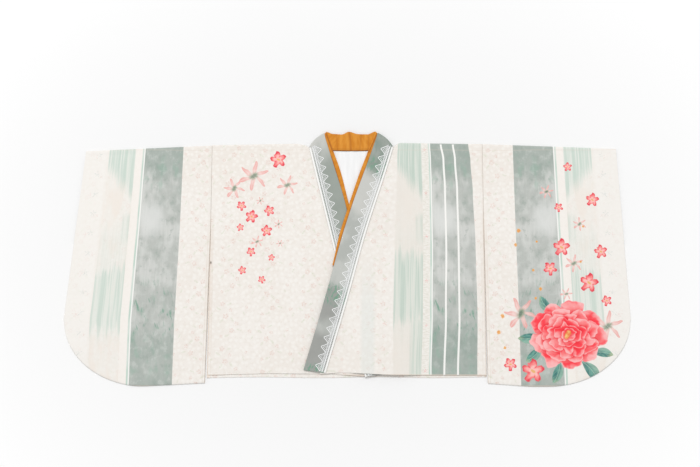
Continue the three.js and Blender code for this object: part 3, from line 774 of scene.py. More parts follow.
def lace(name, materials):
    section = [(-0.5, 0), (-0.36, 0.62), (0, 1), (0.36, 0.62), (0.5, 0)]
    points, faces, places = [], [], []
    total = 0
    for path, width, height in lace_cords(lace_length(name)):
        step = np.diff(path, axis=0)
        step /= np.linalg.norm(step, axis=1)[:, None]
        tangent = np.vstack([step[:1], step[:-1] + step[1:], step[-1:]])
        norm = np.linalg.norm(tangent, axis=1)[:, None]
        tangent = tangent / norm
        miter = np.clip(2 / norm, 1, 1.5)
        miter[0] = miter[-1] = 1
        normal = np.stack([-tangent[:, 1], tangent[:, 0]], -1) * miter
        rings = []
        for offset, rise in section:
            flat = path + normal * offset * width
            rings.append(on_collar(name, flat[:, 0], flat[:, 1], rise * height))
        places.append(np.repeat(path, len(section), axis=0))
        ring = np.stack(rings, 1)
        n, sides = ring.shape[:2]
        points.append(ring.reshape(-1, 3))
        faces += tube_faces(n, sides, total)
        total += n * sides
    obj = make("lace_" + name + "_thread", np.vstack(points), faces, materials)
    add_map(obj, "Cloth", np.vstack(places) / 100)
    face_out(obj)
    return obj


RIBBON_SECTION = [  # across, height: a little thicker along its edges
    (-2.4, 0), (-2.25, 0.5), (-1.9, 0.62), (-1.0, 0.5), (0, 0.46),
    (1.0, 0.5), (1.9, 0.62), (2.25, 0.5), (2.4, 0),
]


def ribbon(name, start, column, materials):
    """A satin ribbon sewn down the left front, along a line of its print."""
    first = float(shoulder_y(np.array(float(start)))) - 0.6
    across, edge = np.array(RIBBON_SECTION).T[:, None, :]
    y = np.linspace(first, -545.5, 190)[:, None] + 0 * across
    x = eased(STRIPE_ROWS, -y, column) + across
    lift = relief("front_left", x, y, shoulder_y(x)) * smooth((first - y) / FRONT_DOWN / 0.03)
    base = rolled_over(left_rest(x, y) + WALL + np.maximum(lift, -0.25), first - y)
    obj = shell(name + "_satin", x, y, base + 0.12 + edge, base + 0.05, materials)
    sheet_map(obj, across + 0 * y, -y)
    return obj


# ---- Painting with nodes ------------------------------------------------------------------------


def add_node(tree, kind, inputs, **settings):
    """A new shader node, with its settings and with what goes into each of its inputs."""
    node = tree.nodes.new("ShaderNode" + kind)
    for key, value in settings.items():
        setattr(node, key, value)
    for key, value in inputs.items():
        if isinstance(value, Value):
            tree.links.new(value.socket, node.inputs[key])
        else:
            value = (*tone(*value), 1) if isinstance(value, tuple) else value
            node.inputs[key].default_value = value
    return node


class Value:
    """A socket that can be added, multiplied and so on."""

    def __init__(self, tree, socket):
        self.tree, self.socket = tree, socket

    def do(self, operation, *others):
        inputs = dict(enumerate((self, *others)))
        node = add_node(self.tree, "Math", inputs, operation=operation)
        return Value(self.tree, node.outputs[0])

    __add__ = partialmethod(do, "ADD")
    __sub__ = partialmethod(do, "SUBTRACT")
    __mul__ = partialmethod(do, "MULTIPLY")
    __truediv__ = partialmethod(do, "DIVIDE")
    max = partialmethod(do, "MAXIMUM")
    min = partialmethod(do, "MINIMUM")
    abs = partialmethod(do, "ABSOLUTE")
    floor = partialmethod(do, "FLOOR")
    modulo = partialmethod(do, "FLOORED_MODULO")
    power = partialmethod(do, "POWER")
    root = partialmethod(do, "SQRT")
    sin = partialmethod(do, "SINE")
    cos = partialmethod(do, "COSINE")

    def flip(self):
        """One less this."""
        return (self * -1.0) + 1.0

    def step(self, low, high):
        """Rises smoothly from 0 at low to 1 at high; low may be the greater."""
        inputs = {"Value": self, "From Min": low, "From Max": high}
        node = add_node(self.tree, "MapRange", inputs, interpolation_type="SMOOTHSTEP")
        return Value(self.tree, node.outputs["Result"])

    def between(self, low, high, soft=0.5):
        """1 between low and high, with soft borders."""
        rise, fall = self.step(low - soft, low + soft), self.step(high + soft, high - soft)
        return rise * fall

    def near(self, centre, reach):
        """1 at a place, 0 further off than the reach."""
        return (self - centre).abs().step(reach, 0.0)


class Paint:
    """A material under construction."""

    def __init__(self, name, roughness=0.85, sheen=0.0):
        self.material = bpy.data.materials.new(name)
        self.material.use_nodes = True
        self.tree = self.material.node_tree
        self.shader = self.tree.nodes["Principled BSDF"]
        self.shader.inputs["Roughness"].default_value = roughness
        self.shader.inputs["Sheen Weight"].default_value = sheen
        self.shader.inputs["Sheen Roughness"].default_value = 0.5
        self.shader.inputs["Specular IOR Level"].default_value = 0.25

    def vector(self, x, y, z=0.0):
        node = add_node(self.tree, "CombineXYZ", {0: x, 1: y, 2: z})
        return Value(self.tree, node.outputs[0])

    def map(self, name, unit=100.0):
        """The two coordinates of a UV map; Cloth counts in hundreds of millimetres."""
        node = add_node(self.tree, "UVMap", {}, uv_map=name)
        split = add_node(self.tree, "SeparateXYZ", {0: Value(self.tree, node.outputs[0])})
        return tuple(Value(self.tree, split.outputs[i]) * unit for i in (0, 1))

    def noise(self, x, y, size, detail=2.0, seed=0.0, rough=0.5):
        """Smooth random values from about 0.25 to 0.75, in blots of about one size."""
        size_x, size_y = size if isinstance(size, tuple) else (size, size)
        spot = self.vector(x / size_x, y / size_y, seed)
        inputs = {"Vector": spot, "Scale": 1.0, "Detail": detail, "Roughness": rough}
        return Value(self.tree, add_node(self.tree, "TexNoise", inputs).outputs["Fac"])

    def dots(self, x, y, size, jitter):
        """Distance from the nearest of many scattered points, in units of their spacing."""
        inputs = {"Vector": self.vector(x / size, y / size), "Scale": 1.0, "Randomness": jitter}
        node = add_node(self.tree, "TexVoronoi", inputs, voronoi_dimensions="2D")
        return Value(self.tree, node.outputs["Distance"])

    def mix(self, amount, below, above):
        """Colour above laid over colour below."""
        inputs = {0: amount, 6: below, 7: above}
        return Value(self.tree, add_node(self.tree, "Mix", inputs, data_type="RGBA").outputs[2])

    def finish(self, colour, height=None, depth=0.1):
        """Puts the colour on the shader, and raises the surface by height times depth in mm."""
        self.tree.links.new(colour.socket, self.shader.inputs["Base Color"])
        if height is not None:
            inputs = {"Distance": depth * MM, "Strength": 1.0, "Height": height}
            node = add_node(self.tree, "Bump", inputs)
            self.tree.links.new(node.outputs[0], self.shader.inputs["Normal"])
        return self.material


LIGHT_GAIN = 1.06  # how much brighter a colour shows than its albedo


def tone(red, green, blue):
    """The albedo that shows as this sRGB colour under the scene's light."""
    linear = [((c / 255 + 0.055) / 1.055) ** 2.4 for c in (red, green, blue)]
    return tuple(c / LIGHT_GAIN for c in linear)


# ---- The cloth's print --------------------------------------------------------------------------

IVORY, IVORY_LOW, DOT = (241, 235, 228), (243, 238, 232), (250, 248, 243)
LATTICE = (234, 227, 218)
PINK_MARK, BROWN_MARK, OLIVE_MARK = (236, 210, 202), (222, 198, 184), (220, 223, 204)
GREY_DARK, GREY_GREEN = (160, 172, 164), (144, 178, 160)
MINTS = {  # deep and soft
    "sleeve": ((206, 219, 209), (225, 231, 223)),
    "front": ((197, 211, 200), (218, 225, 216)),
}
LINE_WHITE, LINE_GREEN = (246, 246, 242), (196, 216, 204)
CORAL, CORAL_DEEP, CORAL_PALE = (252, 134, 134), (232, 66, 84), (255, 196, 190)
PETAL_PALE, PETAL_TIP, HEART = (247, 206, 200), (240, 166, 160), (128, 152, 122)
LEAF, LEAF_DEEP = (104, 164, 150), (58, 122, 118)
LEAF_PALE, LEAF_WARM = (176, 206, 184), (196, 204, 150)
GOLD = (244, 184, 104)
SEAM_SHADE = (221, 205, 190)
# painted warm shade for the back's sides, seen in the gaps beside the sleeves
UNDER_SEAM_SHADE = (250, 236, 222)
BACK_EDGE = 338.1  # across the back's print, at its side

REPEAT = (95.0, 105.0)  # one repeat of the small all-over pattern, across and down, half dropped
REPEAT_FLORETS = [  # across, down, radius
    (14, 12, 6.2), (33, 26, 4.6), (22, 41, 7.2), (47, 58, 5.2), (36, 74, 6.6), (12, 88, 4.4),
    (70, 20, 4.0), (78, 76, 5.0),
]
REPEAT_SPRIGS = [  # across, down, half length, lean
    (6, 24, 7.5, 0.6), (30, 12, 6.5, -0.5), (12, 52, 7.0, -0.9), (36, 48, 7.5, 0.9),
    (53, 72, 6.5, 0.3), (25, 86, 7.0, -0.4), (64, 34, 5.5, 1.2), (84, 90, 6.0, -1.1),
]


def strongest(values):
    """The greatest of several values at each place."""
    return reduce(lambda one, two: one.max(two), values)


def radial(x, y):
    """Distance from the middle, and the angle."""
    return (x * x + y * y).root(), y.do("ARCTAN2", x)


def small_repeat(paint, u, v, ground):
    """The all-over pattern: pale dots on beige, with florets and sprigs in a half drop."""
    warp = paint.noise(u, v, 22, 2.0, 3.0) * 11.0
    dot = paint.dots(u + warp, v - warp, 13.0, 0.8).step(0.44, 0.12)
    lattice = paint.noise(u, v, 8.0, 2.0, 8.0).step(0.5, 0.64)
    colour = paint.mix(lattice * 0.42, ground, LATTICE)
    colour = paint.mix(dot * 0.46, colour, DOT)
    column = (u / REPEAT[0]).floor()
    x = u - column * REPEAT[0]
    y = v + column.modulo(2.0) * (REPEAT[1] / 2)
    y = y.modulo(REPEAT[1])
    grain = paint.noise(u, v, 3.0, 3.0, 5.0)
    sprigs = []
    for across, down, half, lean in REPEAT_SPRIGS:
        dx, dy = x - across, y - down
        along = dx * math.cos(lean) + dy * math.sin(lean)
        off = dy * math.cos(lean) - dx * math.sin(lean)
        leaf = (along / half) * (along / half) + (off / (half * 0.36)) * (off / (half * 0.36))
        sprigs.append(leaf.step(1.2, 0.5))
    colour = paint.mix(strongest(sprigs) * grain.step(0.36, 0.58) * 0.62, colour, OLIVE_MARK)
    florets = []
    for across, down, radius in REPEAT_FLORETS:
        distance, angle = radial(x - across, y - down)
        ridge = (angle * 2.5 + across * 0.7).cos().abs()
        share = distance / radius
        florets.append((share - ridge * 0.42).step(0.7, 0.48) * share.step(0.1, 0.34))
    florets = strongest(florets)
    colour = paint.mix(florets * grain.step(0.3, 0.54) * 0.42, colour, PINK_MARK)
    return paint.mix(florets * grain.step(0.5, 0.64) * 0.5, colour, BROWN_MARK)


def grey_band(paint, u, v, kind):
    """Cloudy grey wash with green tinges, darkest at the top and near the bottom."""
    fine = paint.noise(u, v, (20, 42), 5.0, 1.0)
    broad = paint.noise(u, v, (50, 84), 2.0, 4.0)
    brushed = paint.noise(u, v, (3.2, 90), 3.0, 17.0)
    colour = paint.mix((fine * 0.8 + broad).step(0.82, 1.06), (191, 194, 189), (212, 213, 209))
    colour = paint.mix(brushed.step(0.62, 0.36) * 0.22, colour, (176, 182, 175))
    colour = paint.mix((fine - broad).step(0.0, 0.26) * 0.3, colour, GREY_DARK)
    edge = (fine + broad - 1.0) * 90.0
    dark = (v + edge).step(96.0, 50.0) * (fine * 0.6 + 0.5)
    on_sleeve = kind == "sleeve"
    low = (v + edge).step(*((412.0, 484.0) if on_sleeve else (392.0, 462.0)))
    low = low * (fine * 1.5 - (0.1 if on_sleeve else -0.1))
    depth = 0.84 if on_sleeve else 1.0
    colour = paint.mix(dark.max(low).min(1.0) * depth, colour, GREY_DARK)
    mottle = paint.noise(u, v, (15, 19), 4.0, 33.0, 0.6)
    pale = mottle.step(0.5, 0.66) * (0.42 if on_sleeve else 0.24)
    colour = paint.mix(pale, colour, (211, 215, 210))
    colour = paint.mix(mottle.step(0.46, 0.32) * 0.4, colour, (150, 163, 154))
    green = paint.noise(u, v, (20, 34), 4.0, 9.0)
    ends = (v.between(20.0, 110.0, 20.0) + v.step(300.0, 400.0)).min(1.0)
    tinge = green.step(0.5, 0.7) * ends
    colour = paint.mix(tinge * 0.4, colour, GREY_GREEN)
    blade = paint.noise(u + v * 0.25, v, (5.0, 26), 5.0, 9.0) + (green - 0.5) * 0.7
    blade = blade.step(0.58, 0.72) * v.between(345.0, 470.0, 40.0)
    colour = paint.mix(blade * 0.7, colour, (112, 160, 138))
    glow = (u - 150.0) * (u - 150.0) / 900.0 + (v - 178.0) * (v - 178.0) / 1600.0
    return paint.mix((glow + fine * 2.0).step(2.9, 1.0) * 0.75, colour, (226, 227, 224))


def mint_band(paint, u, v, kind):
    """How strong the streaked mint wash is: it comes and goes down the garment."""
    ragged = (paint.noise(u, v, (7.0, 80), 3.0, 3.0) - 0.5) * 120.0
    at = v + ragged * 0.6
    top = (at + (u - 204.0) * 0.95).step(142.0, 96.0)
    beside = at.between(172.0, 238.0, 16.0) * u.between(200.0, 222.0, 5.0) * 0.6
    veil = at.between(206.0, 470.0, 26.0) * 0.22
    low = (at + ragged * 0.4).between(298.0, 446.0, 20.0)
    strength = top.max(beside).max(veil)
    if kind == "front":
        low = (at + ragged * 0.5).between(262.0, 424.0, 24.0)
        tail = v.step(400.0, 430.0) * (u + ragged * 0.1).between(200.0, 232.0, 7.0) * 0.8
        strength = (strength - veil * 0.55).max(tail)
    return strength.max(low * 0.92)


def stamp(paint, name):
    """The stamp at this place: its kind, its own x and y and its seed."""
    across, down = paint.map(name, 1.0)
    kind = ((across + 2.0) / 4.0).floor()
    seed = ((down + 2.0) / 4.0).floor()
    return kind, across - kind * 4.0, down - seed * 4.0, seed


def draw_blossom(paint, colour, kind, x, y, seed):
    """Five petals, darker towards their tips, round a pale heart."""
    sway = (paint.noise(x * 10, y * 10, 6.0, 1.0, 31.0) - 0.5) * 0.6
    x, y = x + sway, y - sway * 0.7
    distance, angle = radial(x, y)
    ridge = (angle * 2.5).cos().abs()
    blot = paint.noise(x * 10 + seed * 17, y * 10 - seed * 11, 3.4, 3.0, 6.0)
    reach = ridge.power(1.3) * 0.5 + 0.4 + blot * 0.12
    mask = (distance - reach).step(0.03, -0.05) * kind.near(1.0, 0.5)
    share = distance / reach
    petal = paint.mix((share + blot * 0.9).step(0.75, 1.2), CORAL_PALE, CORAL)
    tip = (share + blot * 0.5).step(0.92, 1.2) * ridge.step(0.35, 0.85)
    petal = paint.mix(tip, petal, CORAL_DEEP)
    petal = paint.mix(ridge.step(0.4, 0.05) * distance.step(0.12, 0.4) * 0.6, petal, CORAL_DEEP)
    return paint.mix(mask, colour, paint.mix(distance.step(0.16, 0.07), petal, (238, 184, 120)))


def draw_star(paint, colour, kind, x, y, seed):
    """Six slender pale petals with a green heart that runs out along them."""
    sway = (paint.noise(x * 10, y * 10, 8.0, 1.0, 37.0) - 0.5) * 0.6
    x, y = x + sway, y + sway * 0.8
    distance, angle = radial(x, y)
    off = distance * (angle * 3.0).sin().abs() / 3.0
    width = distance.power(0.8) * distance.flip().max(0.0).root() * 0.27 + 0.008
    mask = (off - width).step(0.02, -0.03) * distance.step(1.0, 0.97) * kind.near(2.0, 0.5)
    blot = paint.noise(x * 10 + seed * 13, y * 10, 3.0, 3.0, 8.0)
    petal = paint.mix((distance + blot * 0.6).step(0.6, 1.2), PETAL_PALE, PETAL_TIP)
    petal = paint.mix((off / width).step(0.3, 0.0) * 0.5, petal, (251, 228, 222))
    heart = (distance + blot * 0.25).step(0.5, 0.2)
    petal = paint.mix(heart, petal, HEART)
    petal = paint.mix(distance.step(0.13, 0.05), petal, (92, 116, 92))
    return paint.mix(mask * 0.85, colour, petal)


def draw_leaf(paint, colour, kind, x, y, seed):
    """A pointed leaf with a mid rib, along its own x."""
    y = y + x * x * 0.16
    full = (x * x).flip().max(0.0) * (x * 0.22 + 1.0) * 0.42
    off = y.abs()
    mask = (off - full).step(0.015, -0.03) * kind.near(3.0, 0.5)
    wash = paint.noise(x * 10 + seed * 9, y * 10, (6.0, 3.0), 3.0, 2.0)
    green = paint.mix(wash.step(0.35, 0.62), LEAF, LEAF_DEEP)
    green = paint.mix(y.step(-0.05, 0.3) * 0.5, green, LEAF_PALE)
    green = paint.mix((x * 0.6 + wash).step(0.75, 1.15) * 0.6, green, LEAF_WARM)
    rib = (x * 13.0 - off * 21.0).sin().step(0.86, 1.0) * 0.5
    green = paint.mix(off.step(0.035, 0.01).max(rib) * 0.7, green, LEAF_PALE)
    return paint.mix(mask * 0.95, colour, green)


def draw_gold(paint, colour, kind, x, y, seed):
    distance, _ = radial(x, y)
    fleck = paint.noise(x * 10 + seed * 7, y * 10, 5.0, 2.0, 4.0)
    mask = (distance + fleck).step(1.25, 1.0) * kind.near(4.0, 0.5)
    return paint.mix(mask * 0.9, colour, paint.mix(fleck.step(0.4, 0.6), GOLD, (235, 150, 60)))


ROSE_RINGS = [  # petals, reach, turn: rings of a formal rosette, from the outside inwards
    (9, 1.00, 0.3), (8, 0.82, 1.9), (8, 0.66, 0.8), (7, 0.51, 2.2), (6, 0.36, 0.5),
    (5, 0.22, 1.2),
]


def draw_rose(paint, colour):
    """A layered rosette: rings of round petals, each deep in its shadow and pale at its rim."""
    x, y = paint.map("Rose", 1.0)
    sway = paint.noise(x * 10, y * 10, 3.9, 2.0, 12.0) - 0.5
    sway_2 = paint.noise(x * 10, y * 10, 3.9, 2.0, 19.0) - 0.5
    x, y = x + sway * 0.4, y + sway_2 * 0.4
    distance, angle = radial(x, y)
    wash = paint.noise(x * 10, y * 10, 1.7, 4.0, 4.0)
    patch = paint.noise(x * 10, y * 10, 5.0, 2.0, 44.0)
    inner = [row[1] for row in ROSE_RINGS[1:]] + [0.08]
    for (count, reach, turn), below in zip(ROSE_RINGS, inner):
        ridge = (angle * (count / 2.0) + turn).cos().abs()
        rim = ridge.power(0.6) * (0.2 * reach) + reach * 0.8
        mask = (distance - rim).step(0.008, -0.012)
        share = (distance - below * 0.8) / (rim - below * 0.8)
        petal = paint.mix(patch.step(0.4, 0.58), (255, 68, 80), (255, 150, 150))
        petal = paint.mix((share + wash * 0.6).step(0.95, 0.3), petal, (238, 36, 54))
        bright = (share + wash * 1.2 + patch * 0.8).step(1.55, 2.05) * 0.8
        petal = paint.mix(bright, petal, (255, 196, 196))
        petal = paint.mix(ridge.step(0.36, 0.06) * 0.6, petal, (242, 52, 72))
        petal = paint.mix((distance - rim).step(-0.03, -0.01) * 0.35, petal, (255, 204, 200))
        colour = paint.mix(mask, colour, petal)
    heart = paint.mix(wash.step(0.4, 0.6), (238, 132, 74), (248, 206, 130))
    return paint.mix((distance + wash * 0.06).step(0.15, 0.11), colour, heart)


def chain(paint, colour, u, v, middle, pitch, radius, ink, turn=0.0, shift=0.0):
    """A row of small sprigs, one below another."""
    x = (u - middle) / radius
    y = ((v + shift).modulo(pitch) - pitch / 2) / radius
    distance, angle = radial(x, y)
    off = distance * (angle * 2.5 + turn).sin().abs() / 2.5
    width = distance * distance.flip() * 0.34 + 0.01
    mask = (off - width).step(0.06, -0.07) * distance.step(1.0, 0.85)
    worn = paint.noise(u, v, 2.6, 2.0, 61.0).step(0.3, 0.62)
    return paint.mix(mask * worn * 0.85, colour, ink)


def stripes(paint, colour, u, v, kind):
    """The printed stripes, by their distance from the armhole side of the print."""
    plain = u.step(202.0, 206.0)
    colour = paint.mix(plain * (0.6 if kind == "sleeve" else 0.12), colour, (244, 240, 234))
    blush = paint.noise(u, v, (30, 90), 2.0, 14.0).step(0.45, 0.62)
    colour = paint.mix(u.between(204.0, 275.0, 1.0) * blush * 0.7, colour, (243, 233, 224))
    if kind == "front":
        colour = paint.mix(u.between(204.0, 275.0, 3.0) * 0.75, colour, (237, 231, 223))
    streak = paint.noise(u, v, (8.0, 260), 2.0, 2.0) * 0.6
    streak = streak + paint.noise(u, v, (2.6, 170), 3.0, 2.5) * 0.4
    deep, soft = MINTS[kind]
    wash = paint.mix(streak.step(0.42, 0.58), deep, soft)
    ragged = (streak - 0.5) * 6.0
    mint = (u + ragged).between(204.0, 275.0, 0.8)
    strength = mint_band(paint, u, v, kind) * (streak.step(0.6, 0.5) * 0.3 + 0.68)
    if kind == "sleeve":
        strength = strength * v.step(505.0, 440.0)
    colour = paint.mix(mint * (strength + 0.05), colour, wash)
    if kind == "front":
        pale = (u + ragged).between(318.0, 348.0, 5.0) * v.step(230.0, 400.0)
        colour = paint.mix(pale * 0.4, colour, (224, 230, 226))
        colour = chain(paint, colour, u, v, 295.0, 105.0, 6.5, (238, 190, 182), 0.4, 46.5)
    else:
        colour = paint.mix(u.step(277.0, 283.0) * 0.35, colour, (248, 246, 242))
        wavering = u + (paint.noise(u, v, 14.0, 2.0, 51.0) - 0.5) * 9.0
        fleck = paint.noise(u, v, 5.0, 2.0, 52.0).step(0.36, 0.6)
        grown = chain(paint, colour, wavering, v, 300.0, 47.0, 10.0, (200, 210, 206), 0.7)
        grown = chain(paint, grown, wavering, v, 311.0, 94.0, 8.5, (236, 204, 198), 0.2, 20.0)
        grown = chain(paint, grown, wavering, v, 289.0, 94.0, 6.5, (232, 204, 196), 0.9, 66.0)
        colour = paint.mix(fleck * 0.85, colour, grown)
    rungs = paint.noise(u, v, (9, 3.0), 2.0, 16.0).step(0.4, 0.62)
    strip = (247, 242, 236)
    if kind == "front":
        strip = paint.mix(rungs, (243, 240, 234), (229, 226, 216))
    colour = paint.mix(u.between(186.0, 204.0, 0.5), colour, paint.mix(0.8, colour, strip))
    if kind == "front":
        colour = chain(paint, colour, u, v, 195.0, 105.0, 5.5, (238, 150, 148), 0.9, 42.5)
        colour = chain(paint, colour, u, v, 196.5, 26.0, 3.0, (228, 220, 204), 0.1, 5.0)
    colour = paint.mix(u.between(77.0, 178.5, 0.5), colour, grey_band(paint, u, v, kind))
    colour = paint.mix(u.between(178.5, 181.5, 0.5), colour, LINE_WHITE)
    faded = paint.noise(u, v, (50, 70), 2.0, 7.0).step(0.4, 0.6)
    green = paint.mix(faded, LINE_GREEN, (216, 226, 218))
    return paint.mix(u.between(181.5, 185.5, 0.6), colour, green)


def painted_edge_shade(paint, colour, u, v, kind):
    """Painted shade: a warm shade along the seams, the hems and the back's sides beside the
    sleeves, and faint darker lines painted as the shade of the folds pressed along the top and
    beside the seams; also a small dark mark where the right front's side opening ends.
    """
    if kind == "back":
        # painted shade: a warm band along the back's side, where it shows in the shadowed gap
        # beside the sleeve
        return paint.mix(u.step(BACK_EDGE - 6.0, BACK_EDGE - 3.0), colour, UNDER_SEAM_SHADE)
    drift = (paint.noise(u, v, (160, 60), 2.0, 15.0) - 0.5) * 8.0
    # painted shade of the fold pressed along the top
    pressed = (v + drift).near(10.5, 1.6) * 0.4
    seam_side = {"sleeve": 0.0, "front": 58.0, "right": 78.0}[kind]
    # painted warm shade on the cloth beside the seam with the sleeve
    beside = u.step(seam_side + 9.0, seam_side) * v.step(120.0, 230.0) * v.step(520.0, 380.0)
    colour = paint.mix(beside * (0.5 if kind == "right" else 0.3), colour, (230, 215, 202))
    if kind == "right":
        # a small dark mark where the side opening ends
        opening_foot_mark = u.step(seam_side + 5.5, seam_side + 2.0) * v.near(282.0, 5.5)
        colour = paint.mix(opening_foot_mark * 0.85, colour, (112, 102, 92))
    if kind == "sleeve":
        # painted warm shade along the armhole edge, and a painted shade line along the ridge 6 mm
        # in
        seam = u.step(1.6, 0.4) * (v.step(150.0, 200.0) * 0.6 + 0.4)
        seam = seam.max(u.near(6.0, 0.9) * v.step(170.0, 240.0) * 0.7)
    else:
        # painted warm shade along the side seam's edge, and a painted shade line along the ridge 6
        # mm in
        seam = u.step(seam_side + 0.6, seam_side - 0.6) * (v.step(150.0, 200.0) * 0.5 + 0.3)
        seam = seam.max(u.near(seam_side + 6.0, 0.9) * v.step(170.0, 240.0) * 0.5)
    # painted shade along the turned hem
    hem = v.step(542.5, 544.5) if kind != "sleeve" else v.step(567.0, 570.5) * 0.8
    shade = pressed.max(seam).max(hem)
    return paint.mix(shade * 0.75, colour, SEAM_SHADE)


def crepe(paint, u, v):
    """Height of a fine crepe weave."""
    return paint.noise(u, v, 1.1, 3.0, 1.0) + paint.noise(u, v, 9.0, 2.0, 2.0) * 0.6


def print_cloth(name, kind, flowers=False, rose=False):
    paint = Paint(name, 0.82, 0.12)
    u, v = paint.map("Cloth")
    ground = paint.mix(paint.noise(u, v, 120, 2.0, 1.0).step(0.4, 0.6), IVORY, IVORY_LOW)
    # painted shade: the print a little darker near the top
    ground = paint.mix(v.step(110.0, 20.0) * 0.6, ground, (238, 231, 223))
    colour = small_repeat(paint, u, v, ground)
    if kind in ("front", "sleeve"):
        colour = stripes(paint, colour, u, v, kind)
    if flowers:
        star = stamp(paint, "Star")
        colour = draw_star(paint, colour, *star)
        colour = draw_leaf(paint, colour, *star)
    if rose:
        colour = draw_rose(paint, colour)
    if flowers:
        bloom = stamp(paint, "Bloom")
        colour = draw_gold(paint, colour, *bloom)
        colour = draw_blossom(paint, colour, *bloom)
    colour = painted_edge_shade(paint, colour, u, v, kind)
    return paint.finish(colour, crepe(paint, u, v), 0.09)


def collar_cloth(name):
    """The collar's own cut of the grey wash: v runs along it, from the right hem to the left."""
    paint = Paint(name, 0.8, 0.12)
    u, v = paint.map("Cloth")
    fine = paint.noise(u, v, (18, 30), 5.0, 21.0)
    broad = paint.noise(u, v, (44, 56), 2.0, 24.0)
    cloud = (fine * 0.6 + broad).step(0.7, 0.95)
    colour = paint.mix(cloud, (180, 183, 178), (196, 198, 193))
    v = v + (fine - 0.5) * 30.0
    dark = v.between(330.0, 530.0, 40.0).max(v.between(720.0, 838.0, 10.0))
    colour = paint.mix(dark * (fine * 0.5 + 0.62), colour, (152, 160, 152))
    low = v.between(1126.0, 1204.0, 14.0).max(v.step(1220.0, 1252.0))
    colour = paint.mix(low * (fine * 0.5 + 0.62), colour, (157, 158, 154))
    shoulder = v.between(716.0, 834.0, 12.0) * fine.step(0.36, 0.6)
    colour = paint.mix(shoulder * 0.8, colour, (136, 150, 140))
    light = v.between(846.0, 940.0, 12.0).max(v.between(556.0, 660.0, 16.0))
    colour = paint.mix(light * 0.75, colour, (207, 207, 202))
    tinge = v.between(800.0, 836.0, 9.0) * 0.8 + v.between(1120.0, 1166.0, 10.0)
    tinge = tinge + v.step(1300.0, 1318.0)
    green = paint.noise(u, v, (6, 12), 5.0, 29.0).step(0.46, 0.6)
    colour = paint.mix((tinge * (green * 0.75 + 0.1)).min(1.0), colour, (116, 160, 136))
    return paint.finish(colour, crepe(paint, u, v), 0.08)


NECK_FOLD_SHADING = [  # across the neck, reach, how dark (or light, below 0): painted shade (or painted highlight) of the folds behind it
    (8, 4.5, 0.6), (1, 6, -0.6), (-14, 8, -0.4), (-24, 3, 0.35), (20, 5, -0.4), (31, 4, 0.35),
    (42, 5, -0.5), (50, 3, 0.4),
]


def contrast_cloth(name):
    """Ochre satin, dull side out: a fine twill, painted shade and painted highlights on its folds
    behind the neck, painted shadow lines where it turns over the shoulders, painted shade where it
    lies under the grey collar, turned edges and a stitched line.
    """
    paint = Paint(name, 0.85, 0.1)
    u, v = paint.map("Cloth")
    x, y = paint.map("Place")
    wash = paint.noise(u, v, (30, 9), 3.0, 2.0)
    colour = paint.mix(wash.step(0.35, 0.65), (210, 132, 38), (222, 147, 52))
    behind = y.step(-34.0, -26.0) * (x - NECK_CENTRE).abs().step(62.0, 54.0)
    # painted shade on each fold behind the neck, or a painted highlight where its depth is below 0
    for at, reach, depth in NECK_FOLD_SHADING:
        sway = y * 0.08 * (1 if at > NECK_CENTRE else -1)
        fold = (x - sway - at).near(0.0, reach) * behind * abs(depth)
        colour = paint.mix(fold, colour, (178, 104, 34) if depth > 0 else (232, 160, 66))
    # painted shadow lines where the band turns over each shoulder
    for foot, slope in ((-33.5, -0.36), (50.5, 0.44)):
        shoulder_turn_shadow = (x - foot - (y + 18.0) * slope).near(0.0, 3.0) * y.step(-21.0, -15.0)
        colour = paint.mix(shoulder_turn_shadow * 0.8, colour, (164, 92, 36))
    stitched = behind * (u.near(4.6, 1.2) * 0.55).max(u.step(2.6, 1.2) * 0.85)
    colour = paint.mix(stitched, colour, (150, 88, 32))
    # painted shade on the part that lies under the grey collar
    tucked = u.step(38.8, 37.4) * y.step(-22.0, -30.0)
    colour = paint.mix(tucked * 0.65, colour, (168, 96, 40))
    twill = ((u + v) * 2.6).sin() * 0.5 + paint.noise(u, v, 1.0, 2.0, 3.0)
    return paint.finish(colour, twill, 0.07)


def lining_cloth(name):
    paint = Paint(name, 0.88, 0.1)
    u, v = paint.map("Cloth")
    wash = paint.noise(u, v, (12, 90), 2.0, 2.0)
    colour = paint.mix(wash.step(0.35, 0.65), (243, 243, 243), (249, 249, 249))
    return paint.finish(colour, crepe(paint, u, v), 0.06)


def lace_thread(name):
    """White cotton, a little warmer along its outer edge."""
    paint = Paint(name, 0.75, 0.2)
    u, v = paint.map("Cloth")
    colour = paint.mix(v.step(3.0, 1.8), (250, 251, 251), (251, 250, 247))
    return paint.finish(colour, paint.noise(u, v, 0.7, 2.0, 1.0), 0.1)


def satin_ribbon(name):
    """White satin, woven across, stitched along both its edges."""
    paint = Paint(name, 0.4, 0.05)
    u, v = paint.map("Cloth")
    stitch = u.abs().near(1.9, 0.28) * (v.modulo(2.6)).near(1.3, 1.1)
    colour = paint.mix(stitch * 0.4, (248, 247, 243), (214, 212, 204))
    ribs = (v * 9.0).sin() * 0.4 + paint.noise(u, v, 0.8, 2.0, 1.0)
    return paint.finish(colour, ribs, 0.05)


# ---- Where the flowers lie ----------------------------------------------------------------------

BLOSSOM, STAR, LEAFY, FLECK = 1, 2, 3, 4
STAMP_REACH = 1.45  # how far a stamp's own faces go, in its radii
NO_STAMP = 1.9


def stamps(kind, *rows):
    """Stamps of one kind, each with its x, y, radius and turn."""
    return [(kind, *row) for row in rows]


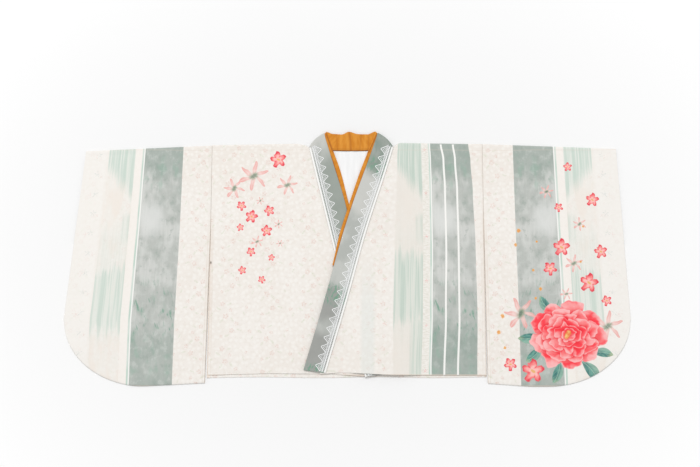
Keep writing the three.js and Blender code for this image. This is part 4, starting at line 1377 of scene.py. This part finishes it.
def stamp_map(obj, name, rows):
    """A map in which each face holds its nearest stamp's own coordinates, with the stamp's kind
    and number told by whole steps of four."""
    mesh = obj.data
    layer = mesh.uv_layers.new(name=name)
    flat = plan_points(obj)
    centres = np.array([flat[list(face.vertices)].mean(0) for face in mesh.polygons])
    table = np.array(rows, float)
    gap = np.linalg.norm(centres[:, None, :] - table[None, :, 1:3], axis=2) / table[None, :, 3]
    nearest, least = gap.argmin(1), gap.min(1)
    corner = loop_points(obj)
    face_of = np.repeat(np.arange(len(mesh.polygons)), [face.loop_total for face in mesh.polygons])
    chosen = nearest[face_of]
    kind, at_x, at_y, radius, turn = table[chosen].T
    away = flat[corner] - np.stack([at_x, at_y], -1)
    x = (away[:, 0] * np.cos(turn) + away[:, 1] * np.sin(turn)) / radius
    y = (away[:, 1] * np.cos(turn) - away[:, 0] * np.sin(turn)) / radius
    kept = least[face_of] < STAMP_REACH
    uv = np.stack([kind * 4 + x, chosen * 4 + y], -1)
    uv = np.where(kept[:, None], uv, NO_STAMP)
    layer.data.foreach_set("uv", uv.astype(np.float32).ravel())


RIGHT_BLOOMS = stamps(
    BLOSSOM,
    (-164, -34, 22, 0.5), (-250, -146, 13, 1.0), (-226, -172, 17, 0.1), (-252, -198, 10, 0.5),
    (-184, -158, 14, 0.7), (-190, -206, 15, 0.4), (-226, -256, 12, 0.9), (-178, -270, 9, 0.2),
    (-246, -300, 11, 0.6), (-200, -322, 10, 1.1),
)
RIGHT_STARS = stamps(
    STAR,
    (-222, -74, 37, 0.35), (-268, -104, 26, 0.9), (-142, -96, 25, 0.2), (-206, -134, 10, 0.8),
    (-162, -190, 11, 0.6), (-212, -232, 15, 0.3), (-158, -236, 9, 0.1),
)
SLEEVE_BLOOMS = stamps(
    BLOSSOM,
    (524, -52, 12, 0.4), (580, -132, 18, 0.2), (500, -150, 12, 0.9), (596, -256, 18, 0.5),
    (504, -246, 23, 0.3), (476, -296, 18, 1.0), (566, -330, 25, 0.15), (606, -372, 14, 0.7),
    (430, -536, 30, 0.3), (378, -520, 17, 0.9),
)
SLEEVE_BLOOMS += stamps(
    FLECK,
    (404, -206, 7, 0), (396, -240, 6, 0), (446, -232, 4, 0), (436, -300, 5, 0), (452, -344, 6, 0),
    (440, -366, 5, 0), (362, -408, 7, 0), (352, -446, 7, 0), (366, -482, 5, 0), (556, -196, 4, 0),
    (548, -280, 4, 0),
)
SLEEVE_STARS = stamps(
    STAR,
    (472, -112, 17, 0.2), (548, -190, 17, 0.6), (532, -284, 22, 0.35), (512, -356, 15, 0.1),
    (404, -402, 40, 0.9), (606, -432, 38, 0.35),
)
SLEEVE_STARS += stamps(
    LEAFY,
    (424, -460, 28, 3.3), (436, -498, 27, 3.9), (488, -540, 27, -1.9), (566, -534, 32, -0.9),
    (592, -492, 26, -0.1), (462, -384, 26, 2.2),
)
ROSE_AT, ROSE_REACH = (512, -452), (90, 80)


def rose_map(obj):
    add_map(obj, "Rose", (plan_points(obj) - np.array(ROSE_AT)) / np.array(ROSE_REACH))


# ---- Assembly -----------------------------------------------------------------------------------


def carried(obj, node):
    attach(obj, "root")
    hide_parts(node)
    return obj


silk = print_cloth("print_plain", "back")
silk_flowers = print_cloth("print_flowers", "right", flowers=True)
silk_front = print_cloth("print_front", "front")
silk_sleeve = print_cloth("print_sleeve", "sleeve")
silk_sleeve_rose = print_cloth("print_sleeve_rose", "sleeve", True, True)
grey = collar_cloth("collar_wash")
cream = lining_cloth("lining")
ochre = contrast_cloth("ochre")
white = lace_thread("lace")
satin = satin_ribbon("satin")

back_piece = carried(back([silk]), "back")
lining_piece = carried(lining([cream]), "back_lining")
right_cloth = front("right", FRONT_RIGHT_HEM, right_rest, [silk_flowers])
right_piece = carried(right_cloth, "front_right")
stamp_map(right_piece, "Bloom", RIGHT_BLOOMS)
stamp_map(right_piece, "Star", RIGHT_STARS)
left_cloth = front("left", FRONT_LEFT_HEM, left_rest, [silk_front])
left_piece = carried(left_cloth, "front_left")
sleeve_cloths = (silk_sleeve, silk_sleeve_rose)
sleeve_pieces = [
    carried(sleeve(row, [cloth]), row["name"])
    for row, cloth in zip(SLEEVES, sleeve_cloths)
]
stamp_map(sleeve_pieces[1], "Bloom", SLEEVE_BLOOMS)
stamp_map(sleeve_pieces[1], "Star", SLEEVE_STARS)
rose_map(sleeve_pieces[1])
for piece in sleeve_pieces:
    thicken(piece, CLOTH)
collar_piece = carried(collar([grey]), "collar")
inner_piece = carried(inner_collar([ochre]), "inner_collar")
lace_pieces = [carried(lace(name, [white]), "lace_" + name) for name in LEGS]
ribbon_pieces = [
    carried(ribbon(name, x, column, [satin]), name) for name, x, column in RIBBONS
]


# ---- Light, floor and camera --------------------------------------------------------------------

SKY_STRENGTH = 0.681
KEY_AT, KEY_AIM, KEY_SIZE, KEY_POWER = (-1000, 3300, 6800), (0, -260, 0), 1.9, 263
FLOOR_SIZE, FLOOR_Z = 30, -0.0004
LOOK_AT, DISTANCE, RISE, LENS = (6.5, -212, 0), 3.0, 80, 65.4

scene = bpy.context.scene
scene.view_settings.view_transform = "Standard"
world = bpy.data.worlds.new("studio")
scene.world = world
world.use_nodes = True
sky = world.node_tree.nodes["Background"]
sky.inputs["Color"].default_value = (1, 1, 1, 1)
sky.inputs["Strength"].default_value = SKY_STRENGTH


def floor_paint():
    """White paper with painted light: a little lighter away from the middle and nearer to the
    viewer.
    """
    paint = Paint("floor", 0.9)
    spot = add_node(paint.tree, "NewGeometry", {})
    position = Value(paint.tree, spot.outputs["Position"])
    split = add_node(paint.tree, "SeparateXYZ", {0: position})
    x, y = Value(paint.tree, split.outputs[0]), Value(paint.tree, split.outputs[1]) - 0.056
    away = x * x * 0.085 + y * y * 0.125
    return paint.finish(away + x * 0.014 - y * 0.04 + 0.861)


def turn_to(obj, direction):
    obj.rotation_mode = "QUATERNION"
    obj.rotation_quaternion = direction.to_track_quat("-Z", "Y")
    scene.collection.objects.link(obj)


key = bpy.data.objects.new("key", bpy.data.lights.new("key", "AREA"))
key.data.size = KEY_SIZE
key.data.energy = KEY_POWER
key.location = place(KEY_AT)
turn_to(key, Vector(place(KEY_AIM)) - Vector(place(KEY_AT)))

bpy.ops.mesh.primitive_plane_add(size=FLOOR_SIZE, location=(0, 0, FLOOR_Z))
floor = bpy.context.object
floor.name = "floor"
floor.data.materials.append(floor_paint())

camera = bpy.data.objects.new("camera", bpy.data.cameras.new("camera"))
camera.data.lens = LENS
away = Vector((0, -math.cos(math.radians(RISE)), math.sin(math.radians(RISE))))
camera.location = Vector(place(LOOK_AT)) + away * DISTANCE
turn_to(camera, -away)
scene.camera = camera
